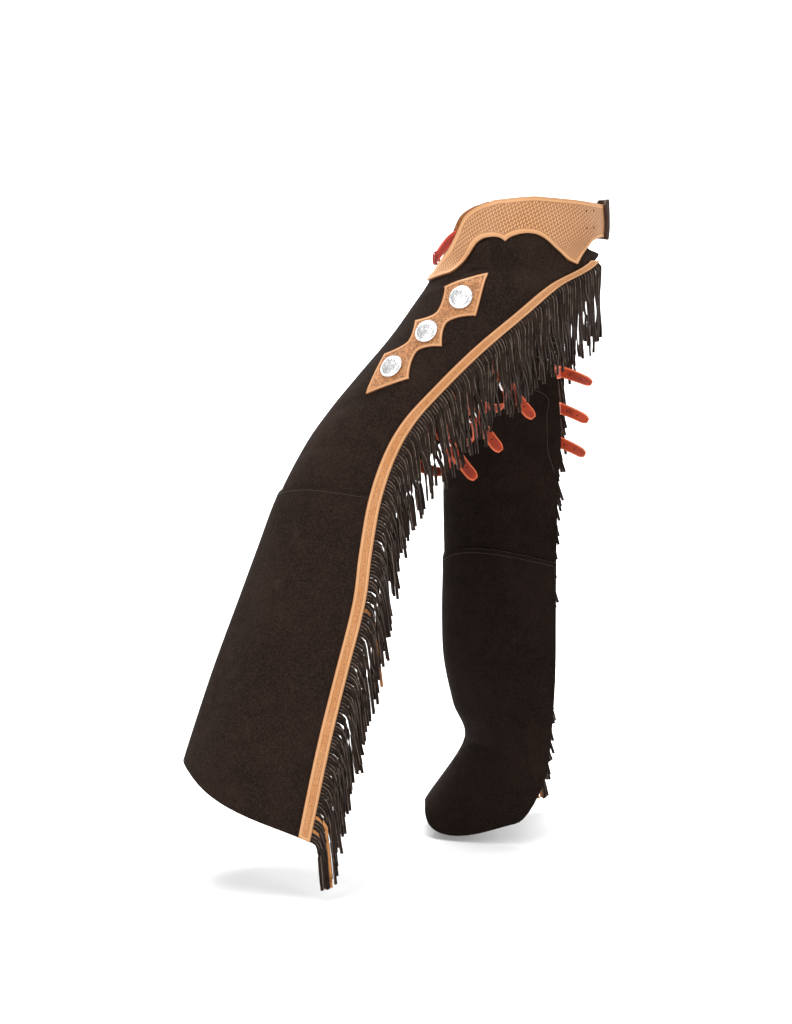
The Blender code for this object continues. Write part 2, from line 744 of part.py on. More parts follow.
def folded_strap(name, ring, sewn, turns, bar_turn, tail, drop, pointed, latigo):
    """A strap that follows the loop through turns, folds round a bar and lies back."""
    forward = 1 if bar_turn > turns[0] else -1
    heading = ring.heading(bar_turn) * forward
    outward = ring.outward(bar_turn)
    bar = ring.point(bar_turn)
    roll = BUCKLE_WIRE + GAP
    centres = [ring.point(t) - ring.outward(t) * roll for t in turns]
    normals = [-ring.outward(t) for t in turns]
    for k in range(5):
        angle = math.pi * k / 4
        normal = -outward * math.cos(angle) + heading * math.sin(angle)
        centres.append(bar + normal * roll)
        normals.append(normal)
    widths = [ring.width] * len(centres)
    leave = (outward * 0.06 - heading).normalized()
    away = leave
    if drop:
        trail = Vector((0.0, ring.back.y, ring.back.z)).normalized() - Vector((0, 0, drop))
        away = (trail - heading * max(0.0, trail.dot(heading) + 0.3)).normalized()
    for share, bend in ((0.2, 0.3), (0.6, 0.75), (1.0, 1.0)):
        way = (leave * (1 - bend) + away * bend).normalized()
        lie = (outward - way * outward.dot(way)).normalized()
        across = way.cross(lie)
        if across.dot(ring.width) < 0:
            across = -across
        centres.append(bar + outward * (roll + 0.002) + way * tail * share)
        normals.append(lie)
        widths.append(across)
    inside = [ends for ends, _ in sewn]
    outside = [[p + inward * STRAP_THICK for p in ends] for ends, inward in sewn]
    for k, (centre, normal, width) in enumerate(zip(centres, normals, widths)):
        reach = STRAP_WIDTH / 2 * (0.5 if pointed and k == len(centres) - 1 else 1.0)
        inside.append([centre - width * reach, centre + width * reach])
        outside.append([p + normal * STRAP_THICK for p in inside[-1]])
    return wall(name, inside, outside, latigo)


def thigh_strap(side, strap, latigo, steel):
    """A chape under the outer edge, its buckle, and the strap from the inner edge."""
    ring = StrapRing(side, strap)
    label = f"{side.name}_{strap.name}"
    front = ring.turn_at(side.fit.chape)
    rear = ring.turn_at(side.fit.chape + BUCKLE_LENGTH)
    chape_turns = [float(t) for t in np.linspace(STRAP_START, front, 6)[:-1]]
    strap_turns = [float(t) for t in np.linspace(math.pi - STRAP_START, rear, 15)[:-1]]
    chape_tail = side.fit.chape * 0.42
    folded_strap(
        f"{label}_chape",
        ring,
        ring.sewn_outer,
        chape_turns,
        front,
        chape_tail,
        0,
        False,
        latigo,
    )
    folded_strap(
        f"{label}_strap",
        ring,
        ring.sewn_inner,
        strap_turns,
        rear,
        TIP_LENGTH,
        side.fit.tip_drop,
        True,
        latigo,
    )
    buckle(f"{label}_buckle", ring.point(front), ring.point(rear), ring.width, steel)


def buckle(name, front_bar, rear_bar, width, steel):
    """A rectangular loop of round wire with both bars across the strap."""
    reach = width * (BUCKLE_INSIDE / 2 + BUCKLE_WIRE)
    curve = bpy.data.curves.new(name, "CURVE")
    curve.dimensions = "3D"
    curve.bevel_depth = BUCKLE_WIRE
    curve.bevel_resolution = 1
    spline = curve.splines.new("POLY")
    corners = [front_bar - reach, front_bar + reach, rear_bar + reach, rear_bar - reach]
    inset = 0.0022
    points = []
    for k, corner in enumerate(corners):
        before = (corners[k - 1] - corner).normalized()
        after = (corners[(k + 1) % 4] - corner).normalized()
        points += [corner + before * inset, corner + after * inset]
    spline.points.add(len(points) - 1)
    for target, p in zip(spline.points, points):
        target.co = (*p, 1.0)
    spline.use_cyclic_u = True
    curve.materials.append(steel)
    made = bpy.data.objects.new(name, curve)
    bpy.context.scene.collection.objects.link(made)
    return made


def back_strap(brown):
    """The dark panel across the small of the back that joins the two yokes."""
    reach = 0.865
    thick = 0.004
    out = YOKE_SEAT + YOKE_THICK + 0.0008
    inside, outside = [], []
    count = 9
    for k in range(count):
        share = -1 + 2 * k / (count - 1)
        side = LEFT if share >= 0 else RIGHT
        across = 1.0 - abs(share) * (1 - reach)
        tuck = max(abs(share) - 0.8, 0.0) * 0.6
        low_line, high_line = [], []
        for row in np.linspace(0.16 + tuck, 1.06 - tuck, 5):
            low = side.point(across, row, out)
            high = side.point(across, row, out + thick)
            if k == count // 2:
                low.x = high.x = 0.0
            low_line.append(low)
            high_line.append(high)
        inside.append(low_line)
        outside.append(high_line)
    return wall("back_strap", inside, outside, brown)


def front_strap(latigo):
    """The red strap that hangs between the two yokes' front edges."""
    across, row = on_pattern(-0.102, -0.060)
    start = LEFT.point(across, row, -0.0008)
    leaving = LEFT.plain(across - 0.04, row) - LEFT.plain(across, row)
    leaving = (leaving.normalized() - LEFT.direction(across, row) * 0.2).normalized()
    low = Vector((0.0, -0.140, -0.099))
    pull = 0.13
    half = 0.0075
    up = Vector((0, 0, 1))
    inside, outside = [], []
    count = 17
    for k in range(count):
        share = -1 + 2 * k / (count - 1)
        t = 1 - abs(share)
        place = start * (2 * t**3 - 3 * t**2 + 1) + low * (3 * t**2 - 2 * t**3)
        place += leaving * pull * (t**3 - 2 * t**2 + t)
        place += Vector((-pull, 0, 0)) * (t**3 - t**2)
        heading = start * (6 * t * t - 6 * t) + low * (6 * t - 6 * t * t)
        heading += leaving * pull * (3 * t * t - 4 * t + 1)
        heading += Vector((-pull, 0, 0)) * (3 * t * t - 2 * t)
        normal = heading.cross(up).normalized()
        if normal.y > 0:
            normal = -normal
        if share < 0:
            place.x = -place.x
            normal.x = -normal.x
        pair = [place - up * half, place + up * half]
        inside.append(pair)
        outside.append([p + normal * STRAP_THICK for p in pair])
    return wall("front_strap", inside, outside, latigo)


def main():
    for old in list(bpy.data.objects):
        bpy.data.objects.remove(old)
    suede = material("brown suede", (0.045, 0.028, 0.020), 0.95)
    tan = material("tooled tan leather", (0.62, 0.33, 0.14), 0.5)
    latigo = material("red latigo leather", (0.50, 0.085, 0.025), 0.45)
    brown = material("dark strap leather", (0.045, 0.020, 0.012), 0.5)
    silver = material("engraved silver", (0.85, 0.85, 0.86), 0.25, 1.0)
    steel = material("buckle steel", (0.75, 0.75, 0.76), 0.25, 1.0)
    for side in (LEFT, RIGHT):
        leg_panels(side, suede)
        yoke(side, tan)
        trim(side, tan)
        fringe(side, suede)
        diamonds(side, tan)
        for number in range(3):
            concho(side, number, silver)
        for strap in side.fit.straps:
            thigh_strap(side, strap, latigo, steel)
    back_strap(brown)
    front_strap(latigo)


main()
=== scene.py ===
"""Fringed leather chaps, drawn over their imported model.

The wearer faces -Y, their left side is +X, and the origin is the middle of the waist. Each
side has one pattern surface, lofted through the rows of a table, and every piece of leather is
laid out on it: across runs -1 inner edge, 0 front, 1 outer edge, and row runs 0 waist to 14 hem.
"""

import math
from collections import namedtuple

import bmesh
import bpy
import numpy as np
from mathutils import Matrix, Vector


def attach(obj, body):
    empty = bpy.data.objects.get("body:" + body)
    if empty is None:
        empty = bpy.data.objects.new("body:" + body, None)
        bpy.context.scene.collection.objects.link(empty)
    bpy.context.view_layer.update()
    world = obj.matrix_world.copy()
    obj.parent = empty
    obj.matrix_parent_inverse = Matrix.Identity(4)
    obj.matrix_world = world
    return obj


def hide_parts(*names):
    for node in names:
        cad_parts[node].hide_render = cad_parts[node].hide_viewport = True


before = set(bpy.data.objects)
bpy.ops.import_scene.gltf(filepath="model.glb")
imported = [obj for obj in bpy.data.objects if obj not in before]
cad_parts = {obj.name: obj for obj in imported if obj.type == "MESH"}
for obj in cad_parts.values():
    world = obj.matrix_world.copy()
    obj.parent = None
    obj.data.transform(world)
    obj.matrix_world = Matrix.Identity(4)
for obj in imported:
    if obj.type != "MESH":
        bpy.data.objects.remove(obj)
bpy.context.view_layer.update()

bl_info = {
    "name": "Fringed leather chaps",
    "version": (1, 0, 0),
    "blender": (4, 5, 0),
    "location": "3D View > Sidebar > Chaps",
    "description": "Makes the leather, sewing, tooling, fringe and metal of a pair of chaps",
    "category": "Object",
}

# Leather, in metres
GAP = 0.0003
SUEDE = 0.002
YOKE_THICK = 0.003
TRIM_THICK = 0.0025
STRAP_THICK = 0.0025
LAYER = SUEDE + 0.0008
YOKE_SEAT = LAYER + 0.0004

# The outer edge: trim above, fringe strip under its outer half
TRIM_WIDTH = 0.0205
STRIP_WIDTH = 0.0095
STRAND_COUNT = 84
STRAND_SHARE = 0.68
STRAND_LENGTH = 0.118
STRAND_SEGMENTS = 3
STRAND_THROW = 0.034
GROUND = -1.059
GROUND_CLEAR = 0.006

# Knee seam: the lower panel laps outside the upper one
SEAM_ROW = 8.95
SEAM_ARCH = 0.2
SEAM_LAP = 0.17
HEM_ROW = 14.0
EDGE_TOP_ROW = 1.95
CORNER_ROUND = 0.9

# Conchos on the three diamonds
CONCHO_RADIUS = 0.019
CONCHO_HEIGHT = 0.0055
CONCHO_PITCH = 0.074
DIAMOND_HALF = 0.0365
NECK_HALF = 0.0135
DIAMOND_TIP = 0.131
DIAMOND_ROW_COUNT = 27

# Thigh straps
STRAP_WIDTH = 0.019
STRAP_INSET = 0.0055
STRAP_SEWN = (0.80, 0.855)
SEWN_GAP = 0.0009
SEWN_GAP_INNER = 0.0016
STRAP_START = math.radians(18)
BUCKLE_WIRE = 0.0016
BUCKLE_LENGTH = 0.017
BUCKLE_INSIDE = 0.022
TIP_LENGTH = 0.062

Row = namedtuple(
    "Row",
    "front_x front_y front_z edge_y edge_z out_width out_wrap "
    "inner_y inner_z in_width in_wrap",
)

# Rows from the waist to just past the hem, in metres and degrees.
LEFT_ROWS = (
    Row(0.000, -0.136, -0.005, 0.124, 0.003, 0.172, 179, -0.136, -0.008, 0.000, 40),
    Row(0.025, -0.139, -0.067, 0.122, -0.062, 0.152, 183, -0.132, -0.080, 0.012, 45),
    Row(0.060, -0.143, -0.101, 0.107, -0.102, 0.112, 142, -0.120, -0.130, 0.040, 55),
    Row(0.088, -0.149, -0.130, 0.047, -0.135, 0.104, 126, -0.095, -0.190, 0.068, 70),
    Row(0.098, -0.177, -0.172, -0.007, -0.180, 0.104, 116, -0.065, -0.255, 0.080, 85),
    Row(0.106, -0.212, -0.220, -0.065, -0.229, 0.106, 109, -0.080, -0.322, 0.086, 92),
    Row(0.115, -0.264, -0.281, -0.121, -0.283, 0.106, 103, -0.128, -0.383, 0.088, 94),
    Row(0.124, -0.306, -0.332, -0.170, -0.337, 0.102, 98, -0.168, -0.434, 0.088, 94),
    Row(0.130, -0.343, -0.385, -0.201, -0.390, 0.102, 96, -0.202, -0.478, 0.088, 94),
    Row(0.135, -0.384, -0.464, -0.224, -0.457, 0.104, 95, -0.240, -0.547, 0.090, 94),
    Row(0.140, -0.415, -0.546, -0.238, -0.536, 0.109, 93, -0.266, -0.615, 0.094, 94),
    Row(0.145, -0.444, -0.624, -0.248, -0.611, 0.116, 92, -0.293, -0.687, 0.099, 93),
    Row(0.150, -0.482, -0.726, -0.274, -0.715, 0.123, 90, -0.330, -0.790, 0.104, 92),
    Row(0.155, -0.510, -0.809, -0.300, -0.821, 0.132, 89, -0.355, -0.880, 0.108, 91),
    Row(0.160, -0.531, -0.875, -0.332, -0.971, 0.142, 88, -0.372, -0.965, 0.112, 90),
    Row(0.163, -0.545, -0.925, -0.344, -1.021, 0.147, 87, -0.382, -1.015, 0.114, 90),
)

RIGHT_ROWS = (
    Row(0.000, -0.136, -0.005, 0.124, 0.003, 0.172, 179, -0.136, -0.008, 0.000, 40),
    Row(0.025, -0.139, -0.067, 0.122, -0.062, 0.152, 183, -0.132, -0.080, 0.012, 45),
    Row(0.060, -0.137, -0.104, 0.110, -0.110, 0.112, 142, -0.105, -0.132, 0.040, 55),
    Row(0.084, -0.131, -0.140, 0.082, -0.158, 0.102, 128, -0.050, -0.195, 0.064, 75),
    Row(0.094, -0.122, -0.190, 0.060, -0.212, 0.096, 118, 0.020, -0.240, 0.070, 95),
    Row(0.099, -0.115, -0.248, 0.048, -0.270, 0.094, 111, 0.052, -0.275, 0.070, 102),
    Row(0.104, -0.114, -0.324, 0.040, -0.338, 0.094, 106, 0.061, -0.335, 0.072, 104),
    Row(0.109, -0.119, -0.390, 0.034, -0.402, 0.094, 102, 0.064, -0.398, 0.074, 102),
    Row(0.115, -0.123, -0.470, 0.030, -0.474, 0.096, 99, 0.060, -0.468, 0.078, 98),
    Row(0.120, -0.121, -0.600, 0.030, -0.592, 0.100, 96, 0.058, -0.596, 0.082, 95),
    Row(0.122, -0.122, -0.682, 0.030, -0.668, 0.106, 94, 0.058, -0.680, 0.084, 94),
    Row(0.124, -0.119, -0.760, 0.029, -0.745, 0.113, 92, 0.058, -0.765, 0.086, 93),
    Row(0.127, -0.104, -0.835, 0.027, -0.825, 0.120, 90, 0.054, -0.852, 0.088, 92),
    Row(0.130, -0.089, -0.905, 0.024, -0.905, 0.126, 89, 0.046, -0.935, 0.092, 91),
    Row(0.132, -0.150, -1.008, 0.020, -0.995, 0.132, 88, 0.030, -1.020, 0.096, 90),
    Row(0.133, -0.180, -1.058, 0.018, -1.045, 0.134, 88, 0.024, -1.070, 0.098, 90),
)

Point = namedtuple("Point", "y z")

# The yoke's upper edge as seen from the left, front to back.
YOKE_UPPER = (
    Point(-0.1430, -0.1210),
    Point(-0.1290, -0.0990),
    Point(-0.1140, -0.0780),
    Point(-0.1030, -0.0500),
    Point(-0.0930, -0.0290),
    Point(-0.0760, -0.0160),
    Point(-0.0500, -0.0060),
    Point(0.0030, 0.0000),
    Point(0.0690, -0.0060),
    Point(0.1120, -0.0120),
)

YokeLine = namedtuple("YokeLine", "low_y low_z high_y")

# The scalloped lower edge, and where the line from each of its places meets the upper edge.
YOKE_LINES = (
    YokeLine(-0.1480, -0.1310, -0.143),
    YokeLine(-0.1280, -0.1230, -0.133),
    YokeLine(-0.1130, -0.1170, -0.122),
    YokeLine(-0.0960, -0.1010, -0.110),
    YokeLine(-0.0810, -0.0770, -0.099),
    YokeLine(-0.0700, -0.0660, -0.089),
    YokeLine(-0.0560, -0.0620, -0.072),
    YokeLine(-0.0440, -0.0630, -0.060),
    YokeLine(-0.0360, -0.0680, -0.050),
    YokeLine(-0.0280, -0.0620, -0.040),
    YokeLine(-0.0130, -0.0570, -0.028),
    YokeLine(0.0040, -0.0565, -0.014),
    YokeLine(0.0190, -0.0620, 0.000),
    YokeLine(0.0340, -0.0740, 0.010),
    YokeLine(0.0470, -0.0870, 0.018),
    YokeLine(0.0580, -0.0980, 0.025),
    YokeLine(0.0720, -0.1050, 0.032),
    YokeLine(0.0780, -0.0955, 0.042),
    YokeLine(0.0840, -0.0860, 0.053),
    YokeLine(0.0880, -0.0790, 0.065),
    YokeLine(0.0930, -0.0715, 0.077),
    YokeLine(0.0990, -0.0660, 0.089),
    YokeLine(0.1080, -0.0630, 0.101),
    YokeLine(0.1160, -0.0620, 0.112),
)

Bend = namedtuple("Bend", "across row")

YOKE_LINE_STEP = 0.086

# The yoke's ends, upper and lower corner: past the front line, and at the centre back.
YOKE_FRONT = (Bend(-0.10, 2.72), Bend(-0.12, 3.02))
YOKE_BACK = (Bend(0.965, 0.27), Bend(0.965, 1.00))

# Top edge of the leg leather, hidden under the yoke, as share of the wrap and row.
LEG_TOP = (
    Bend(-1.00, 4.70),
    Bend(-0.70, 4.10),
    Bend(-0.35, 3.45),
    Bend(0.00, 2.75),
    Bend(0.18, 2.10),
    Bend(0.32, 1.10),
    Bend(0.42, 0.62),
    Bend(0.55, 0.62),
    Bend(0.64, 0.80),
    Bend(0.74, 1.22),
    Bend(0.83, 1.45),
    Bend(0.93, 1.62),
    Bend(1.00, EDGE_TOP_ROW),
)

Fold = namedtuple("Fold", "across row reach_across reach_row depth")

# Soft folds pressed into the surface: where, how far they reach, how deep they go.
LEFT_FOLDS = (
    Fold(0.55, 11.50, 0.14, 2.20, 0.005),
    Fold(0.25, 12.20, 0.12, 1.80, -0.005),
    Fold(-0.45, 10.50, 0.20, 2.50, 0.006),
)
RIGHT_FOLDS = (
    Fold(-0.35, 4.60, 0.25, 0.40, -0.005),
    Fold(-0.25, 12.90, 0.30, 0.60, -0.005),
    Fold(-0.75, 12.60, 0.20, 0.55, 0.006),
    Fold(-0.60, 8.00, 0.16, 2.40, 0.004),
    Fold(0.50, 11.20, 0.16, 2.20, 0.006),
    Fold(0.25, 12.90, 0.30, 0.60, -0.004),
)

Strap = namedtuple("Strap", "name row inner_row")
StrapFit = namedtuple("StrapFit", "bulge chape tip_drop swing straps")

# How far the straps stand behind the thigh, the chapes' length and how the tips hang.
LEFT_FIT = StrapFit(
    0.108,
    0.066,
    0.45,
    0.10,
    (Strap("upper", 4.95, 5.10), Strap("middle", 5.80, 6.00), Strap("lower", 6.62, 6.90)),
)
RIGHT_FIT = StrapFit(
    0.048,
    0.030,
    0.42,
    0.24,
    (Strap("upper", 5.30, 5.20), Strap("middle", 6.15, 6.10), Strap("lower", 7.00, 6.98)),
)

def catmull_rom(rows, v):
    """Every column of the rows at each row number in v, on one smooth curve."""
    last = len(rows) - 1
    v = np.clip(v, 0.0, float(last))
    i = np.minimum(v.astype(int), last - 1)
    t = (v - i)[..., None]
    p0, p1, p2, p3 = (rows[np.clip(i + k, 0, last)] for k in (-1, 0, 1, 2))
    return 0.5 * (
        2 * p1
        + (p2 - p0) * t
        + (2 * p0 - 5 * p1 + 4 * p2 - p3) * t * t
        + (3 * p1 - p0 - 3 * p2 + p3) * t * t * t
    )


def unit(vectors):
    return vectors / np.maximum(np.linalg.norm(vectors, axis=-1, keepdims=True), 1e-12)


def spread(across, row):
    """Both as arrays of one shape."""
    return np.broadcast_arrays(np.asarray(across, float), np.asarray(row, float))


class Side:
    """The pattern surface of one leg, for whole arrays of places at once."""

    def __init__(self, name, rows, folds, creases, fit, sign):
        self.name = name
        self.rows = np.array(rows, float)
        self.folds = folds
        self.creases = creases
        self.fit = fit
        self.sign = sign

    def plain(self, across, row):
        across, row = spread(across, row)
        r = Row(*np.moveaxis(catmull_rom(self.rows, row), -1, 0))
        outer = across >= 0
        wrap = np.radians(np.where(outer, r.out_wrap, r.in_wrap))
        angle = np.abs(across) * wrap
        depth = (1 - np.cos(angle)) / (1 - np.cos(wrap))
        end_y = np.where(outer, r.edge_y, r.inner_y)
        end_z = np.where(outer, r.edge_z, r.inner_z)
        width = np.where(outer, r.out_width, -r.in_width)
        x = self.sign * (r.front_x + width * np.sin(angle))
        y = r.front_y + (end_y - r.front_y) * depth
        z = r.front_z + (end_z - r.front_z) * depth
        return np.stack((x, y, z), axis=-1)

    def direction(self, across, row):
        """Outward normal of the surface without its folds."""
        across, row = spread(across, row)
        step = 0.02
        along = self.plain(across + step, row) - self.plain(across - step, row)
        down = self.plain(across, row + 3 * step) - self.plain(across, row - 3 * step)
        return unit(self.sign * np.cross(down, along))

    def fold_depth(self, across, row):
        """Soft round folds, and long creases that run from one place to another."""
        across, row = spread(across, row)
        total = np.zeros(across.shape)
        for fold in self.folds:
            a = (across - fold.across) / fold.reach_across
            b = (row - fold.row) / fold.reach_row
            total += fold.depth * np.exp(-a * a - b * b)
        for crease in self.creases:
            start = np.array((crease.start_across * ACROSS_SIZE, crease.start_row * ROW_SIZE))
            end = np.array((crease.end_across * ACROSS_SIZE, crease.end_row * ROW_SIZE))
            here = np.stack((across * ACROSS_SIZE, row * ROW_SIZE), axis=-1)
            way = end - start
            share = (here - start) @ way / (way @ way)
            near = start + np.clip(share, 0.0, 1.0)[..., None] * way
            off = np.linalg.norm(here - near, axis=-1) / crease.width
            side_on = (here[..., 0] - near[..., 0]) * way[1] - (here[..., 1] - near[..., 1]) * way[0]
            lip = np.tanh(side_on / np.linalg.norm(way) / crease.width)
            total += crease.depth * np.exp(-off * off) * (1 + 0.5 * lip)
        return total

    def point(self, across, row, out=0.0):
        across, row = spread(across, row)
        lift = np.asarray(out) + self.fold_depth(across, row)
        return self.plain(across, row) + self.direction(across, row) * lift[..., None]

    def edge_down(self, across, row):
        """Unit vector down the leg at this place."""
        return unit(self.point(across, row + 0.06) - self.point(across, row - 0.06))

    def inward(self, row, distance):
        """Across value that lies this far in from the outer edge."""
        row = np.asarray(row, float)
        step = 0.02
        length = np.linalg.norm(self.point(1.0, row) - self.point(1.0 - step, row), axis=-1)
        return 1.0 - distance * step / length


Crease = namedtuple("Crease", "start_across start_row end_across end_row width depth")

# About how long one unit of across and of row are, to measure creases by.
ACROSS_SIZE = 0.19
ROW_SIZE = 0.080

# Creases: slanting in at the hip, and where the leather bends over the knee and instep.
LEFT_CREASES = (
    Crease(0.30, 3.15, 0.42, 2.35, 0.0060, -0.0032),
    Crease(0.42, 2.35, 0.64, 2.15, 0.0070, -0.0024),
    Crease(0.18, 3.60, 0.38, 3.05, 0.0110, 0.0020),
    Crease(0.15, 8.10, 0.62, 7.85, 0.0120, -0.0016),
    Crease(0.30, 9.70, 0.85, 10.30, 0.0160, 0.0018),
    Crease(0.25, 6.90, 0.60, 6.30, 0.0150, -0.0016),
    Crease(-0.30, 4.80, -0.75, 5.20, 0.0090, -0.0028),
    Crease(-0.20, 8.40, -0.70, 8.10, 0.0120, -0.0022),
    Crease(-0.40, 12.40, -0.85, 11.60, 0.0130, 0.0022),
    Crease(0.10, 13.63, 0.50, 13.25, 0.0050, -0.0007),
    Crease(0.50, 13.25, 0.95, 13.07, 0.0050, -0.0007),
)
RIGHT_CREASES = (
    Crease(-0.02, 12.95, -0.60, 12.86, 0.0075, -0.0040),
    Crease(-0.08, 13.30, -0.50, 13.22, 0.0090, 0.0028),
    Crease(0.10, 12.60, 0.60, 12.30, 0.0100, -0.0035),
    Crease(-0.20, 8.30, -0.70, 8.00, 0.0120, -0.0018),
    Crease(-0.60, 10.20, -0.45, 11.60, 0.0140, 0.0018),
    Crease(0.20, 4.00, 0.55, 3.30, 0.0080, -0.0026),
    Crease(0.20, 8.20, 0.65, 7.90, 0.0120, -0.0018),
    Crease(0.35, 9.60, 0.80, 10.60, 0.0150, 0.0020),
)

LEFT = Side("left", LEFT_ROWS, LEFT_FOLDS, LEFT_CREASES, LEFT_FIT, 1)
RIGHT = Side("right", RIGHT_ROWS, RIGHT_FOLDS, RIGHT_CREASES, RIGHT_FIT, -1)
SIDES = (LEFT, RIGHT)


def on_pattern(y, z):
    """(across, row) of the place on the left leg that shows at y, z from the left."""

    def beside(row):
        r = Row(*catmull_rom(LEFT.rows, np.array(row)))
        return (r.edge_y - r.front_y) * (z - r.front_z) - (r.edge_z - r.front_z) * (
            y - r.front_y
        )

    places = np.linspace(0.0, len(LEFT_ROWS) - 1.0, 151)
    signs = [beside(p) for p in places]
    found = [k for k in range(150) if signs[k] <= 0 <= signs[k + 1]]
    low, high = (places[found[0]], places[found[0] + 1]) if found else (places[0], places[-1])
    for _ in range(30):
        middle = (low + high) / 2
        if beside(middle) <= 0:
            low = middle
        else:
            high = middle
    row = (low + high) / 2
    r = Row(*catmull_rom(LEFT.rows, np.array(row)))
    wrap = math.radians(r.out_wrap)
    share = min(max((y - r.front_y) / (r.edge_y - r.front_y), 0.0), 1.0)
    return math.acos(1 - share * (1 - math.cos(wrap))) / wrap, float(row)


def walk(across, row, direction, distance):
    """The places reached by walking over the left pattern for these distances."""
    across, row, distance = np.broadcast_arrays(
        np.asarray(across, float), np.asarray(row, float), np.asarray(distance, float)
    )
    steps = 6
    for _ in range(steps):
        here = LEFT.plain(across, row)
        by_across = (LEFT.plain(across + 0.01, row) - here) / 0.01
        by_row = (LEFT.plain(across, row + 0.01) - here) / 0.01
        normal = LEFT.direction(across, row)
        flat = unit(direction - normal * (direction * normal).sum(-1, keepdims=True))
        aa, ab, bb = ((a * b).sum(-1) for a, b in
                      ((by_across, by_across), (by_across, by_row), (by_row, by_row)))
        ta, tb = (by_across * flat).sum(-1), (by_row * flat).sum(-1)
        scale = distance / steps / (aa * bb - ab * ab)
        across = across + (ta * bb - tb * ab) * scale
        row = row + (tb * aa - ta * ab) * scale
    return across, row


DIAMOND_MIDDLE = Point(-0.154, -0.207)
DIAMOND_SLOPE = math.radians(47.3)


def diamond_place(along_axis, sideways):
    """(across, row) on the pattern of places on the diamond panel."""
    across, row = on_pattern(*DIAMOND_MIDDLE)
    axis = np.array((0.0, -math.cos(DIAMOND_SLOPE), -math.sin(DIAMOND_SLOPE)))
    across, row = walk(across, row, axis, along_axis)
    side_way = np.cross(LEFT.direction(across, row), axis)
    return walk(across, row, side_way, sideways)


def diamond_half(station):
    """Half width of the three-diamond panel this far from its middle."""
    s = np.abs(station)
    corner, neck = CONCHO_PITCH * 0.93, CONCHO_PITCH * 0.42
    share = (DIAMOND_TIP - s) / (DIAMOND_TIP - corner)
    ends = 0.0008 + DIAMOND_HALF * np.maximum(share, 0.0)
    t = np.where(s <= neck, (neck - s) / neck, (s - neck) / (corner - neck))
    waist = NECK_HALF + (DIAMOND_HALF - NECK_HALF) * np.clip(t, 0, 1) ** 1.6
    return np.where(s >= corner, ends, waist)


def seam(across):
    """Row of the knee seam, which is the lower panel's top edge."""
    return SEAM_ROW - SEAM_ARCH * np.sin(math.pi * np.minimum(np.abs(across), 1.0))


def hem(side, across):
    """Row of the hem: cut round between the front and each edge, its inner corner cut off."""
    depth = 0.18 if side is LEFT else 0.66
    across = np.asarray(across, float)
    corner = np.maximum(-across - 0.88, 0.0) / 0.12
    round_part = depth * np.sin(math.pi * np.minimum(np.abs(across), 1.0)) ** 2
    return HEM_ROW + round_part - CORNER_ROUND * corner * corner


def leg_top(across):
    """Row of the leg leather's top edge, which the yoke hides."""
    return np.interp(across, [b.across for b in LEG_TOP], [b.row for b in LEG_TOP])


def edge_layer(row):
    """The trim and fringe strip step out by one layer where the lower panel begins."""
    start, stop = SEAM_ROW - 0.75, SEAM_ROW - 0.3
    t = np.clip((row - start) / (stop - start), 0.0, 1.0)
    return LAYER * t * t * (3 - 2 * t)


class Finish:
    """A material whose nodes are added and joined one line at a time."""

    def __init__(self, name):
        self.made = bpy.data.materials.new(name)
        self.made.use_nodes = True
        self.tree = self.made.node_tree
        self.shader = self.tree.nodes["Principled BSDF"]

    def node(self, kind, settings=None, **inputs):
        made = self.tree.nodes.new(kind)
        for key, value in (settings or {}).items():
            setattr(made, key, value)
        for key, value in inputs.items():
            self.put(made.inputs[key.replace("_", " ")], value)
        return made

    def put(self, socket, value):
        if isinstance(value, bpy.types.NodeSocket):
            self.tree.links.new(value, socket)
        else:
            socket.default_value = value

    def sum(self, operation, a, b=0.0, c=0.0, clamp=False):
        made = self.node("ShaderNodeMath", {"operation": operation, "use_clamp": clamp})
        for socket, value in zip(made.inputs, (a, b, c)):
            self.put(socket, value)
        return made.outputs[0]

    def steps(self, value, low, high, low_value=0.0, high_value=1.0):
        """Value eased from one level to another as it goes from low to high."""
        made = self.node("ShaderNodeMapRange", {"interpolation_type": "SMOOTHSTEP"})
        for key, number in (("Value", value), ("From Min", low), ("From Max", high),
                            ("To Min", low_value), ("To Max", high_value)):
            self.put(made.inputs[key], number)
        return made.outputs[0]

    def mix(self, share, a, b):
        made = self.node("ShaderNodeMix", {"data_type": "RGBA"})
        self.put(made.inputs["Factor"], share)
        for socket, value in ((made.inputs[6], a), (made.inputs[7], b)):
            self.put(socket, value if isinstance(value, bpy.types.NodeSocket) else (*value, 1.0))
        return made.outputs[2]

    def place(self, pattern=False):
        """Object coordinates, or the piece's own flat pattern in metres."""
        if pattern:
            return self.node("ShaderNodeUVMap", {"uv_map": "pattern"}).outputs[0]
        return self.node("ShaderNodeTexCoord").outputs["Object"]

    def noise(self, place, scale, detail=3.0, roughness=0.55, stretch=None, warp=0.0):
        if stretch:
            place = self.node("ShaderNodeMapping", Vector=place, Scale=stretch).outputs[0]
        return self.node("ShaderNodeTexNoise", Vector=place, Scale=scale, Detail=detail,
                         Roughness=roughness, Distortion=warp).outputs["Fac"]

    def value(self, name):
        """A number stored at each corner of the piece."""
        return self.node("ShaderNodeAttribute", {"attribute_name": name}).outputs["Fac"]

    def relief(self, height, depth, previous=None):
        made = self.node("ShaderNodeBump", Height=height, Distance=depth, Strength=1.0)
        if previous is not None:
            self.put(made.inputs["Normal"], previous)
        return made.outputs["Normal"]

    def done(self, colour, roughness, normal=None, **constants):
        self.put(self.shader.inputs["Base Color"],
                 colour if isinstance(colour, bpy.types.NodeSocket) else (*colour, 1.0))
        self.put(self.shader.inputs["Roughness"], roughness)
        if normal is not None:
            self.put(self.shader.inputs["Normal"], normal)
        for key, value in constants.items():
            self.shader.inputs[key.replace("_", " ")].default_value = value
        return self.made


